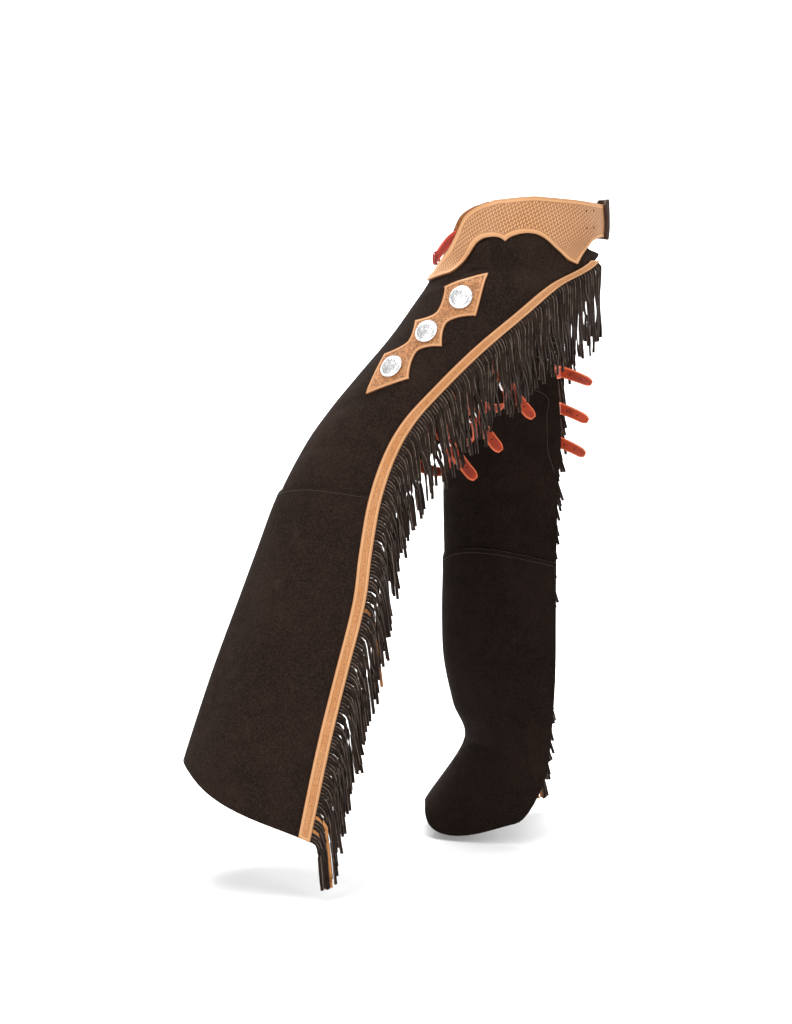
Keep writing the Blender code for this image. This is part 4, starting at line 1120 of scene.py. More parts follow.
def edge_trim(side, finishes):
    lines, columns = 420, 9
    row = np.linspace(EDGE_TOP_ROW, HEM_ROW, lines)[None, :]
    inset = np.linspace(TRIM_WIDTH, 0.0012, columns)[:, None]
    across = 1 - inset * (1 - side.inward(row, 0.01)) / 0.01
    out = edge_layer(row) + LAYER + 0.0 * across
    rows = np.broadcast_to(row, across.shape)
    middle = side.point(across, rows, out + TRIM_THICK / 2)
    gone = np.linalg.norm(np.diff(middle[columns // 2], axis=0), axis=1)
    gone = np.concatenate(([0], np.cumsum(gone)))[None, :]
    pattern = np.stack((inset + 0.0 * gone, gone + 0.0 * inset), axis=-1)
    name = f"{side.name}_edge_trim"
    seen = pair_of(finishes, "trim", "tan_back", "tan_edge")
    piece = laid(name + "_tooled", side, across, rows, out, TRIM_THICK, seen, pattern)
    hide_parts(name)
    declare_sheet(middle)
    for number, inset in enumerate((0.0038, TRIM_WIDTH - 0.0030)):
        rows = np.linspace(EDGE_TOP_ROW + 0.03, HEM_ROW - 0.03, 400)
        line = np.stack((side.inward(rows, inset), rows), axis=-1)
        sewing(f"{side.name}_trim_sewing_{number + 1}", side, line,
               edge_layer(rows) + LAYER + TRIM_THICK, finishes["tan_thread"])


def strand_runs(side, rng):
    """Middle lines, widths and thickness ways of all strands of one fringe."""
    strand_long = sizes().strand_length
    samples = np.linspace(EDGE_TOP_ROW, HEM_ROW, 400)
    points = side.point(1.0, samples)
    gone = np.concatenate(([0], np.cumsum(np.linalg.norm(np.diff(points, axis=0), axis=1))))
    count = int(gone[-1] / sizes().strand_pitch)
    wanted = (np.arange(count) + 0.5) * gone[-1] / count
    row = np.interp(wanted, gone, samples)
    down = side.edge_down(1.0, row)
    out = unit(side.point(1.0, row) - side.point(0.97, row))
    out = unit(out - down * (out * down).sum(-1, keepdims=True))
    normal = side.direction(1.0, row)
    free = np.clip((row - 2.5) / 4.0, 0, 1)[:, None]
    root = side.point(side.inward(row, 0.0035), row, edge_layer(row) + 0.001)
    number = np.arange(count)
    group = np.repeat(number, rng.integers(2, 6, count))[:count]
    sway = rng.normal(0.0, 1.0, (count, 3))[group] * 0.45 + rng.normal(0.0, 1.0, (count, 3)) * 0.35
    lift = normal * (0.22 + 0.3 * free + 0.12 * (number % 3)[:, None])
    lift += normal * rng.uniform(-0.1, 0.25, (count, 1))
    hang = np.concatenate((sway[:, :1] * 0.06, side.fit.swing * free + sway[:, 1:2] * 0.07,
                           -np.ones((count, 1))), axis=1)
    hang = unit(hang)
    throw = STRAND_THROW * (0.42 + 0.58 * free) * rng.uniform(0.8, 1.15, (count, 1))
    length = strand_long * rng.uniform(0.86, 1.06, (count, 1))
    room = (root[:, 2:3] - GROUND - 0.008) * 1.02
    length = np.minimum(length, room)
    bend = rng.normal(0.0, 1.0, (count, 2))
    phase = rng.uniform(0.0, 2 * math.pi, (count, 2))
    ticks = STRAND_LINES - 1
    place = root.copy()
    middles, twists = [root], [np.zeros((count, 1))]
    turn = rng.normal(0.0, 0.4, (count, 1))
    ways = [unit(out + lift * 0.4)]
    bent = (rng.random((count, 1)) < 0.22) * rng.uniform(-1.1, 1.1, (count, 1))
    bent_at = rng.uniform(0.35, 0.7, (count, 1))
    for k in range(1, ticks + 1):
        share = (k - 0.5) / ticks
        kink = bent * np.exp(-(((share - bent_at) / 0.13) ** 2)) * 0.55
        t = np.clip(length * share / throw, 0, 1)
        t = t * t * (3 - 2 * t)
        way = unit((out + lift) * (1 - t) + hang * t)
        wave = np.sin(phase + share * 7.0) * bend * 0.085 * share
        way = unit(way + down * (wave[:, :1] * 1.3 + kink) + normal * wave[:, 1:] * 0.6)
        place = place + way * length / ticks
        middles.append(place)
        ways.append(way)
        twists.append(turn * share)
    middles = np.stack(middles, axis=1)
    tips = np.stack([middles[group == g].mean(axis=0) for g in np.unique(group)])
    centre = tips[np.searchsorted(np.unique(group), group)]
    pull = (np.linspace(0, 1, STRAND_LINES) ** 1.5 * 0.16)[None, :, None]
    middles = middles + (centre - middles) * pull * np.array((1.0, 1.0, 0.15))
    middles[..., 2] = np.maximum(middles[..., 2], GROUND + 0.007)
    ways = np.stack(ways, axis=1)
    twist = np.stack(twists, axis=1)
    width = down[:, None, :] - ways * (down[:, None, :] * ways).sum(-1, keepdims=True)
    level = np.array((0.0, 1.0, 0.0)) - ways * ways[..., 1:2]
    blend = np.linspace(0, 1, STRAND_LINES)[None, :, None]
    size = np.linalg.norm(width, axis=-1, keepdims=True)
    width = unit(width * (1 - 0.6 * blend) + level * 0.6 * blend * np.where(size > 0, 1, 1))
    thick = np.cross(width, ways)
    thick *= np.where((thick * normal[:, None, :]).sum(-1, keepdims=True) < 0, -1, 1)
    width = width * np.cos(twist) + thick * np.sin(twist)
    thick = unit(np.cross(width, ways))
    return middles, width, thick


def fringe(side, finishes):
    """The strip under the trim and its strands, each a flat ribbon with its own droop."""
    rng = np.random.default_rng(11 if side is LEFT else 23)
    strand_wide, strand_thick = sizes().strand_width, sizes().strand_thickness
    middles, width, thick = strand_runs(side, rng)
    count = len(middles)
    columns = 4
    template = sheet_mesh("strand", columns, STRAND_LINES)
    place = corner_values(template, "place")
    made = copies(f"{side.name}_fringe_strands", template, count)
    bpy.data.meshes.remove(template)
    reach = np.array((-0.5, -0.32, 0.32, 0.5)) * strand_wide
    narrow = 1 - 0.10 * np.linspace(0, 1, STRAND_LINES) ** 2
    grid = middles[:, None] + width[:, None] * (reach[:, None] * narrow)[None, :, :, None]
    low = grid - thick[:, None] * strand_thick / 2
    high = grid + thick[:, None] * strand_thick / 2
    both = np.concatenate((low.reshape(count, -1, 3), high.reshape(count, -1, 3)), axis=1)
    positions = both[:, place].reshape(-1, 3)
    along = np.linspace(0, sizes().strand_length, STRAND_LINES)
    flat = np.stack(np.broadcast_arrays(reach[:, None], along[None, :]), axis=-1).reshape(-1, 2)
    flat = np.concatenate((flat, flat))[place]
    edge = np.broadcast_to(strand_wide / 2 - np.abs(reach)[:, None], (columns, STRAND_LINES))
    edge = np.concatenate((edge.ravel(), edge.ravel()))[place]
    turn = face_out(made, positions)
    seen = pair_of(finishes, "strand", "strand", "strand_edge", "tan_strand")
    colours = np.empty(len(made.polygons), np.int32)
    made.polygons.foreach_get("material_index", colours)
    each = len(colours) // count
    tan = rng.random(count) < np.where(np.arange(count) > count * 0.93, 0.20, 0.006)
    colours = np.where(np.repeat(tan, each), 3, colours)
    made.polygons.foreach_set("material_index", colours)
    piece = finish_mesh(f"{side.name}_fringe_strands", made, positions, np.tile(flat, (count, 1)),
                        np.tile(edge, count), seen, turn)
    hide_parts(f"{side.name}_fringe")
    rows = np.linspace(EDGE_TOP_ROW, HEM_ROW, 300)[None, :]
    inset = np.linspace(STRIP_WIDTH, 0.0, 4)[:, None]
    across = 1 - inset * (1 - side.inward(rows, 0.01)) / 0.01
    strip = laid(f"{side.name}_fringe_strip", side, across, rows + 0.0 * across,
                 edge_layer(rows) + 0.0 * across, SUEDE,
                 pair_of(finishes, "strand", "strand", "strand_edge"))


# Places along each strand.
STRAND_LINES = 13


def diamond_panel(side, finishes):
    """The panel of three joined diamonds, with its sewing and its conchos."""
    corner = CONCHO_PITCH * 0.93
    halves = [np.linspace(-DIAMOND_TIP, -corner, 32)[:-1], np.linspace(-corner, 0, 32)[:-1]]
    stations = np.concatenate((*halves, [0.0], -halves[1][::-1], -halves[0][::-1]))
    share = np.linspace(-1, 1, 31)
    along = stations[:, None] + 0.0 * share[None, :]
    sideways = diamond_half(stations)[:, None] * share[None, :]
    across, row = diamond_place(along, sideways)
    pattern = np.stack((sideways, along), axis=-1)
    name = f"{side.name}_diamonds"
    seen = pair_of(finishes, "carved", "tan_back", "tan_edge")
    piece = laid(name + "_carved", side, across, row, LAYER, TRIM_THICK, seen, pattern)
    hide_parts(name)
    middle = side.point(across, row, LAYER + TRIM_THICK / 2)
    declare_sheet(middle)
    for number, way in enumerate((-1, 1)):
        edge = diamond_half(stations)
        near = np.maximum(edge - 0.0024, 0.0) * way
        line = np.stack(diamond_place(stations, near), axis=-1)[2:-2]
        sewing(f"{side.name}_diamond_sewing_{number + 1}", side, line, LAYER + TRIM_THICK,
               finishes["tan_thread"])
    for number in range(3):
        concho(side, number, finishes["silver"])


def concho(side, number, silver):
    """A domed disc with a rolled rim, turned about the place where it is screwed on."""
    across, row = diamond_place((number - 1) * CONCHO_PITCH, 0.0)
    normal = Vector(side.direction(across, row))
    base = Vector(side.point(across, row, LAYER + TRIM_THICK + GAP + 0.0002))
    turn = Vector((0, 0, 1)).rotation_difference(normal).to_matrix()
    profile = [(0.0, 0.0), (CONCHO_RADIUS * 0.97, 0.0), (CONCHO_RADIUS, 0.0004)]
    profile += [(CONCHO_RADIUS, 0.0012), (CONCHO_RADIUS * 0.975, 0.0018),
                (CONCHO_RADIUS * 0.94, 0.0018), (CONCHO_RADIUS * 0.90, 0.0013)]
    for share in np.linspace(0.84, 0.0, 14):
        height = 0.0016 + (CONCHO_HEIGHT - 0.0016) * math.sqrt(max(1 - (share / 0.90) ** 2, 0.0))
        profile.append((CONCHO_RADIUS * share, height))
    bm = bmesh.new()
    corners = [bm.verts.new((radius, 0.0, height)) for radius, height in profile]
    edges = [bm.edges.new(pair) for pair in zip(corners, corners[1:])]
    bmesh.ops.spin(bm, geom=corners + edges, cent=(0, 0, 0), axis=(0, 0, 1),
                   angle=2 * math.pi, steps=56, use_merge=True)
    bmesh.ops.remove_doubles(bm, verts=bm.verts, dist=1e-6)
    bmesh.ops.recalc_face_normals(bm, faces=bm.faces)
    layer = bm.loops.layers.uv.new("pattern")
    for face in bm.faces:
        face.smooth = True
        for loop in face.loops:
            loop[layer].uv = loop.vert.co.xy
    for v in bm.verts:
        v.co = base + turn @ v.co
    name = f"{side.name}_concho_{number + 1}"
    made = bpy.data.meshes.new(name + "_engraved")
    bm.to_mesh(made)
    bm.free()
    made.set_sharp_from_angle(angle=math.radians(50))
    made.materials.append(silver)
    piece = bpy.data.objects.new(made.name, made)
    bpy.context.scene.collection.objects.link(piece)
    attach(piece, "root")
    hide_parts(name)


def sewn_place(side, across, row, width):
    """A strap's two edges where it lies against the leather, and its thickness' way."""
    step = 0.05
    length = np.linalg.norm(side.point(across, row + step) - side.point(across, row))
    reach = STRAP_WIDTH / 2 * step / length
    gap = SEWN_GAP if across > 0 else SEWN_GAP_INNER
    ends = [side.point(across, row + k * reach, -gap) for k in (-1, 1)]
    if (ends[1] - ends[0]) @ width < 0:
        ends.reverse()
    return ends, -side.direction(across, row)


class StrapRing:
    """The loop that one thigh strap follows, from the outer edge round the back."""

    def __init__(self, side, strap):
        start = side.point(0.94, strap.row, -STRAP_INSET)
        end = side.point(-0.94, strap.inner_row, -STRAP_INSET)
        down = side.edge_down(1.0, strap.row) + side.edge_down(-1.0, strap.inner_row)
        back = unit(np.cross(start - end, down))
        if back[1] < 0:
            back = -back
        self.reach = (start - end) / 2 / math.cos(STRAP_START)
        self.back = back * side.fit.bulge
        self.middle = (start + end) / 2 - self.back * math.sin(STRAP_START)
        self.width = unit(np.cross(self.reach, self.back))
        self.sewn_outer = [sewn_place(side, a, strap.row, self.width) for a in STRAP_SEWN]
        self.sewn_inner = [sewn_place(side, -a, strap.inner_row, self.width) for a in STRAP_SEWN]

    def point(self, turn):
        return self.middle + self.reach * math.cos(turn) + self.back * math.sin(turn)

    def heading(self, turn):
        return unit(self.point(turn + 0.01) - self.point(turn - 0.01))

    def outward(self, turn):
        normal = unit(np.cross(self.width, self.heading(turn)))
        return -normal if normal @ (self.point(turn) - self.middle) < 0 else normal

    def turn_at(self, distance):
        """The turn at this length along the loop."""
        turn, gone, step = STRAP_START, 0.0, 0.01
        while gone < distance:
            gone += np.linalg.norm(self.point(turn + step) - self.point(turn))
            turn += step
        return turn


def band(name, low, high, normals, finishes, slot, tip=0.0, thick=STRAP_THICK, square=0.0):
    """A strap between two lines of edge points, with its thickness along the normals."""
    low, high, normals = (np.asarray(part, float) for part in (low, high, normals))
    joined = np.concatenate((low, high, normals), axis=1)
    stations = np.linspace(0, len(joined) - 1, (len(joined) - 1) * 8 + 1)
    fine = catmull_rom(joined, stations)
    middle = (fine[:, :3] + fine[:, 3:6]) / 2
    gone = np.concatenate(([0], np.cumsum(np.linalg.norm(np.diff(middle, axis=0), axis=1))))
    wanted = np.linspace(0, gone[-1], max(int(gone[-1] / 0.0018), 8))
    fine = np.stack([np.interp(wanted, gone, c) for c in fine.T], axis=-1)
    middle = (fine[:, :3] + fine[:, 3:6]) / 2
    half = (fine[:, 3:6] - fine[:, :3]) / 2
    normals = unit(fine[:, 6:])
    wide = np.linalg.norm(half, axis=-1).max()
    left = wanted[-1] - wanted
    narrow = np.ones(len(wanted))
    if tip:
        share = np.clip(left / tip, 0, 1)
        narrow = square + (1 - square) * np.sin(share * math.pi / 2) ** 0.75
    share = np.linspace(-1, 1, 9)[:, None]
    line = middle[None] + half[None] * (share * narrow)[..., None]
    inside, outside = line, line + normals[None] * thick
    u = share * narrow * wide
    v = left[None, :] + 0.0 * u
    pattern = np.stack((u, v), axis=-1)
    edge = np.minimum(wide * narrow - np.abs(u), np.minimum(wanted, left + 0.0008)[None, :])
    piece = shell(name, inside, outside, pattern, finishes, edge)
    return piece, line + normals[None] * thick / 2


def folded_strap(name, ring, sewn, turns, bar_turn, tail, drop, tip, node, finishes):
    """A strap that follows the loop through turns, folds round a bar and lies back."""
    forward = 1 if bar_turn > turns[0] else -1
    heading = ring.heading(bar_turn) * forward
    outward = ring.outward(bar_turn)
    bar = ring.point(bar_turn)
    roll = BUCKLE_WIRE + GAP
    centres = [ring.point(t) - ring.outward(t) * roll for t in turns]
    normals = [-ring.outward(t) for t in turns]
    for k in range(5):
        angle = math.pi * k / 4
        normal = -outward * math.cos(angle) + heading * math.sin(angle)
        centres.append(bar + normal * roll)
        normals.append(normal)
    widths = [ring.width] * len(centres)
    leave = unit(outward * 0.06 - heading)
    away = leave
    if drop:
        trail = unit(np.array((0.0, ring.back[1], ring.back[2]))) - np.array((0, 0, drop))
        away = unit(trail - heading * max(0.0, trail @ heading + 0.3))
    for share, bend in ((0.2, 0.3), (0.6, 0.75), (1.0, 1.0)):
        way = unit(leave * (1 - bend) + away * bend)
        lie = unit(outward - way * (outward @ way))
        across = np.cross(way, lie)
        if across @ ring.width < 0:
            across = -across
        centres.append(bar + outward * (roll + 0.002) + way * tail * share)
        normals.append(lie)
        widths.append(across)
    reach = STRAP_WIDTH / 2
    low = [ends[0] for ends, _ in sewn] + [c - w * reach for c, w in zip(centres, widths)]
    high = [ends[1] for ends, _ in sewn] + [c + w * reach for c, w in zip(centres, widths)]
    normals = [inward for _, inward in sewn] + normals
    piece, middle = band(name, low, high, normals, finishes, "latigo", tip, square=0.42)
    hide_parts(node)
    declare_sheet(middle)
    return piece


def buckle(name, front_bar, rear_bar, width, outward, steel):
    """A rectangular wire loop with rounded corners and a tongue."""
    reach = width * (BUCKLE_INSIDE / 2 + BUCKLE_WIRE)
    corners = [front_bar - reach, front_bar + reach, rear_bar + reach, rear_bar - reach]
    points = []
    radius = 0.0032
    for k, corner in enumerate(corners):
        before = unit(corners[k - 1] - corner)
        after = unit(corners[(k + 1) % 4] - corner)
        for step in range(6):
            t = step / 5
            points.append(corner + before * radius * (1 - t) ** 2 + after * radius * t**2)
    wire_curve(name + "_wire", points, BUCKLE_WIRE, True, steel, name)
    middle = (front_bar + rear_bar) / 2
    tongue = [front_bar + outward * 0.0018, middle + outward * 0.0030,
              rear_bar + outward * 0.0026 + (rear_bar - front_bar) * 0.08]
    wire_curve(name + "_tongue", smooth_line(tongue, 0.002), 0.0011, False, steel)


def wire_curve(name, points, radius, closed, steel, node=None):
    """Round wire along a line of points."""
    curve = bpy.data.curves.new(name, "CURVE")
    curve.dimensions = "3D"
    curve.bevel_depth = radius
    curve.bevel_resolution = 3
    curve.use_fill_caps = True
    spline = curve.splines.new("POLY")
    spline.points.add(len(points) - 1)
    for target, p in zip(spline.points, points):
        target.co = (*p, 1.0)
    spline.use_cyclic_u = closed
    spline.use_smooth = True
    curve.materials.append(steel)
    piece = bpy.data.objects.new(name, curve)
    bpy.context.scene.collection.objects.link(piece)
    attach(piece, "root")
    if node:
        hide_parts(node)
    return piece


def thigh_strap(side, strap, finishes):
    """A chape under the outer edge, its buckle, and the strap from the inner edge."""
    ring = StrapRing(side, strap)
    label = f"{side.name}_{strap.name}"
    front = ring.turn_at(side.fit.chape)
    rear = ring.turn_at(side.fit.chape + BUCKLE_LENGTH)
    chape_turns = [float(t) for t in np.linspace(STRAP_START, front, 6)[:-1]]
    strap_turns = [float(t) for t in np.linspace(math.pi - STRAP_START, rear, 15)[:-1]]
    seen = pair_of(finishes, "latigo", "latigo", "latigo_edge")
    folded_strap(f"{label}_chape_sewn", ring, ring.sewn_outer, chape_turns, front,
                 side.fit.chape * 0.42, 0, 0.0, f"{label}_chape", seen)
    seen = pair_of(finishes, "latigo_punched", "latigo_punched", "latigo_edge")
    folded_strap(f"{label}_strap_punched", ring, ring.sewn_inner, strap_turns, rear,
                 TIP_LENGTH, side.fit.tip_drop, 0.012, f"{label}_strap", seen)
    turn = ring.outward((front + rear) / 2)
    buckle(f"{label}_buckle", ring.point(front), ring.point(rear), ring.width, turn,
           finishes["steel"])


def back_panel(finishes):
    """The dark panel across the small of the back, sewn round and screwed on."""
    reach, thick = 0.865, 0.004
    out = YOKE_SEAT + YOKE_THICK + 0.0008
    columns, lines = 61, 45
    share = np.linspace(-1, 1, columns)
    tuck = np.maximum(np.abs(share) - 0.8, 0.0) * 0.6
    round_off = 0.045 * np.clip((np.abs(share) - 0.86) / 0.14, 0, 1) ** 2.5
    low, high = 0.16 + tuck + round_off, 1.06 - tuck - round_off
    down = np.linspace(0, 1, lines)
    inside, outside = [], []
    for k, s in enumerate(share):
        side = LEFT if s >= 0 else RIGHT
        row = low[k] + (high[k] - low[k]) * down
        across = 1.0 - abs(s) * (1 - reach) + 0.0 * row
        for grid, lift in ((inside, out), (outside, out + thick)):
            points = side.point(across, row, lift)
            if abs(s) < 1e-9:
                points[:, 0] = 0.0
            grid.append(points)
    inside, outside = np.stack(inside), np.stack(outside)
    seen = pair_of(finishes, "dark", "dark", "dark_edge")
    middle = (inside + outside) / 2
    gone = np.linalg.norm(np.diff(middle, axis=0), axis=-1)[:, lines // 2]
    gone = np.concatenate(([0], np.cumsum(gone)))
    tall = np.linalg.norm(np.diff(middle, axis=1), axis=-1)
    tall = np.concatenate((np.zeros((columns, 1)), np.cumsum(tall, axis=1)), axis=1)
    tall -= tall[:, -1:] / 2
    pattern = np.stack((gone[:, None] + 0.0 * tall, tall), axis=-1)
    piece = shell("back_strap_sewn", inside, outside, pattern, seen)
    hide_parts("back_strap")
    declare_sheet(middle)
    for number, (side, way) in enumerate(((LEFT, 1), (RIGHT, -1))):
        row = np.linspace(0.27, 0.95, 40)
        line = np.stack((0.885 + 0.0 * row, row), axis=-1)
        sewing(f"back_strap_sewing_{number + 1}", side, line, out + thick,
               finishes["brown_thread"])
        places = np.array(SCREW_PLACES)
        centres = side.point(places[:, 0], places[:, 1], YOKE_SEAT + YOKE_THICK + 0.0001)
        beads(f"{side.name}_yoke_screws", centres, side.edge_down(places[:, 0], places[:, 1]),
              side.direction(places[:, 0], places[:, 1]), (0.0042, 0.0042, 0.0012),
              finishes["dark_steel"])


# Screws through the yoke beside the back strap, as (across, row).
SCREW_PLACES = ((0.735, 0.43), (0.779, 0.43), (0.730, 0.77), (0.771, 0.77))


def front_strap(finishes):
    """The red strap that hangs between the yokes' front edges, with its keeper."""
    across, row = on_pattern(-0.102, -0.060)
    start = LEFT.point(across, row, -0.0008)
    leaving = unit(LEFT.plain(across - 0.04, row) - LEFT.plain(across, row))
    leaving = unit(leaving - LEFT.direction(across, row) * 0.2)
    low = np.array((0.0, -0.140, -0.099))
    pull, half = 0.13, 0.0075
    side_pull = np.array((-pull, 0.0, 0.0))
    lows, highs, normals = [], [], []
    for share in np.linspace(-1, 1, 33):
        t = 1 - abs(share)
        place = start * (2 * t**3 - 3 * t**2 + 1) + low * (3 * t**2 - 2 * t**3)
        place = place + leaving * pull * (t**3 - 2 * t**2 + t) + side_pull * (t**3 - t**2)
        heading = start * (6 * t * t - 6 * t) + low * (6 * t - 6 * t * t)
        heading = heading + leaving * pull * (3 * t * t - 4 * t + 1)
        heading = heading + side_pull * (3 * t * t - 2 * t)
        normal = unit(np.cross(heading, (0.0, 0.0, 1.0)))
        normal = -normal if normal[1] > 0 else normal
        if share < 0:
            place, normal = place * (-1, 1, 1), normal * (-1, 1, 1)
        lows.append(place - np.array((0, 0, half)))
        highs.append(place + np.array((0, 0, half)))
        normals.append(normal)
    seen = pair_of(finishes, "red_strap", "red_strap", "red_edge")
    piece, middle = band("front_strap_creased", lows, highs, normals, seen, "latigo")
    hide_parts("front_strap")
    declare_sheet(middle)
    keeper(lows, highs, normals, seen)


def keeper(lows, highs, normals, seen):
    """A narrow loop of the same leather round the strap, just left of its lowest place."""
    k = 19
    middle = (np.array(lows[k]) + highs[k]) / 2
    way = unit(np.array(lows[k + 1]) - lows[k - 1])
    up, out = np.array((0.0, 0.0, 1.0)), np.array(normals[k])
    tall, deep, half = 0.0086, 0.0042, 0.0042
    ring = []
    for turn in np.linspace(0, 2 * math.pi, 25):
        c, s = math.cos(turn), math.sin(turn)
        lift = out * (0.00125 + deep * math.copysign(abs(s) ** 0.5, s))
        ring.append(middle + up * tall * math.copysign(abs(c) ** 0.4, c) + lift)
    ring = np.array(ring)
    centre = middle + out * 0.00125
    facing = unit(ring - centre)
    band("front_strap_keeper", ring - way * half, ring + way * half, facing, seen, "latigo",
         thick=0.0016)


# The stitched outline of the patch inside the right thigh, as (across, row).
PATCH_LINE = ((-0.800, 5.62), (-0.880, 5.67), (-0.922, 5.77), (-0.932, 5.93), (-0.915, 6.26),
              (-0.915, 6.71), (-0.922, 7.14), (-0.952, 7.50), (-0.975, 7.72))


def patch_sewing(side, finishes):
    """The sewn line of the patch that lines the inner thigh."""
    places = smooth_line(PATCH_LINE, 0.02)
    sewing(f"{side.name}_patch_sewing", side, places, SUEDE + 0.0001,
           finishes["pale_thread"])
    sewing(f"{side.name}_patch_sewing_inside", side, places, -0.0001,
           finishes["pale_thread"])


def shade(name, note, value):
    """A colour that a user may change."""
    return bpy.props.FloatVectorProperty(name=name, description=note, subtype="COLOR", size=3,
                                         min=0.0, max=1.0, default=value)


def length(name, note, value, low, high):
    """A size that a user may change, in metres."""
    return bpy.props.FloatProperty(name=name, description=note, default=value, min=low, max=high,
                                   unit="LENGTH", subtype="DISTANCE", precision=4)


class ChapsColours(bpy.types.PropertyGroup):
    suede_dark: shade("Suede, dark", "Brown suede where the nap lies down",
                      (0.0092, 0.0047, 0.0033))
    suede_light: shade("Suede, light", "Brown suede where the nap stands up",
                       (0.0205, 0.0112, 0.0080))
    suede_rubbed: shade("Suede, rubbed", "Brown suede where it has been rubbed",
                        (0.060, 0.040, 0.030))
    flesh_dark: shade("Flesh side, dark", "Inner side of the suede", (0.0090, 0.0058, 0.0040))
    flesh_light: shade("Flesh side, light", "Inner side of the suede, brushed",
                       (0.0190, 0.0128, 0.0090))
    cut_edge: shade("Cut edge", "Raw edge of the suede", (0.17, 0.13, 0.105))
    tan_pale: shade("Tan, pale", "High places of the tan leather", (0.63, 0.325, 0.145))
    tan: shade("Tan", "Tan leather", (0.52, 0.220, 0.070))
    tan_deep: shade("Tan, deep", "Creases and hollows of the tan leather",
                    (0.24, 0.085, 0.025))
    latigo: shade("Latigo", "Oiled orange-red strap leather", (0.46, 0.050, 0.014))
    latigo_deep: shade("Latigo, deep", "Strap leather where it is dark with oil",
                       (0.25, 0.026, 0.010))
    latigo_rubbed: shade("Latigo, rubbed", "Borders of the strap leather", (0.82, 0.17, 0.060))
    red: shade("Front strap", "Red strap leather at the front", (0.36, 0.038, 0.022))
    dark: shade("Back strap", "Very dark brown leather at the back", (0.034, 0.0115, 0.0050))
    silver: shade("Wire", "Nickel plate of the buckles", (0.80, 0.80, 0.81))
    paper: shade("Floor", "Studio paper under and behind the chaps", (0.95, 0.95, 0.95))


class ChapsSizes(bpy.types.PropertyGroup):
    strand_pitch: length("Strand pitch", "From one fringe strand to the next",
                         0.0052, 0.003, 0.03)
    strand_width: length("Strand width", "Width a fringe strand is cut to", 0.0052, 0.002, 0.02)
    strand_thickness: length("Strand thickness", "Thickness of a strand", 0.0019, 0.001, 0.004)
    strand_length: length("Strand length", "Longest strand, from the trim", 0.124, 0.03, 0.2)
    stitch_pitch: length("Stitch pitch", "From one stitch to the next", 0.0036, 0.002, 0.01)
    stitch_length: length("Stitch length", "Thread that shows in a stitch", 0.0027, 0.001, 0.008)


def colours():
    group = bpy.context.scene.chaps_colours
    names = ChapsColours.__annotations__
    return namedtuple("Colours", names)(*(tuple(getattr(group, n)) for n in names))


def sizes():
    return bpy.context.scene.chaps_sizes


MADE_FINISHES = {}


def all_finishes():
    """Every material of the chaps by its plain name, made once."""
    if MADE_FINISHES:
        return MADE_FINISHES
    c = colours()
    MADE_FINISHES.update(
        # The last number sets how much painted shade falls between the legs.
        suede=suede_finish("brown suede", c.suede_dark, c.suede_light, c.suede_rubbed, 0.5),
        flesh=suede_finish("suede flesh side", c.flesh_dark, c.flesh_light, c.suede_dark),
        cut_edge=edge_finish("suede cut edge", c.cut_edge, c.suede_light),
        stamped=yoke_finish(c.tan_pale, c.tan, c.tan_deep),
        trim=trim_finish(c.tan_pale, c.tan, c.tan_deep),
        carved=carved_finish(c.tan_pale, c.tan, c.tan_deep),
        tan_back=suede_finish("tan flesh side", c.tan_deep, c.tan, c.tan_pale),
        tan_edge=edge_finish("tan cut edge", c.tan_deep, tuple(x * 0.5 for x in c.tan_deep)),
        strand=fringe_finish("fringe suede", tuple(x * 0.7 for x in c.suede_dark),
                             tuple(x * 0.8 for x in c.suede_light),
                             tuple(x * 1.15 for x in c.cut_edge)),
        strand_edge=edge_finish("fringe cut edge", c.suede_rubbed, c.suede_light),
        tan_strand=fringe_finish("fringe lining suede", c.tan_deep, c.tan, c.tan_pale),
        latigo=strap_finish("latigo", c.latigo, c.latigo_deep, c.latigo_rubbed),
        latigo_punched=strap_finish("punched latigo", c.latigo, c.latigo_deep, c.latigo_rubbed,
                                    holes_from=0.014, holes=6, pitch=0.019),
        latigo_edge=edge_finish("latigo cut edge", c.latigo_rubbed, c.latigo),
        red_strap=strap_finish("red strap leather", c.red, tuple(x * 0.6 for x in c.red),
                               tuple(min(x * 1.4, 1) for x in c.red), rough=0.7, gloss=0.06),
        red_edge=edge_finish("red cut edge", tuple(min(x * 1.7, 1) for x in c.red), c.red),
        dark=strap_finish("dark strap leather", c.dark, tuple(x * 0.6 for x in c.dark),
                          tuple(x * 1.4 for x in c.dark), rough=0.7, gloss=0.06),
        dark_edge=edge_finish("dark cut edge", tuple(x * 1.6 for x in c.dark), c.dark),
        silver=silver_finish(),
        steel=metal_finish("nickel wire", c.silver, 0.24),
        dark_steel=metal_finish("blackened screw", (0.10, 0.055, 0.040), 0.42),
        tan_thread=thread_finish("tan thread", c.tan_pale, c.tan),
        brown_thread=thread_finish("brown thread", c.suede_rubbed, c.suede_light),
        pale_thread=thread_finish("pale thread", (0.085, 0.062, 0.045), (0.050, 0.036, 0.026)),
    )
    return MADE_FINISHES


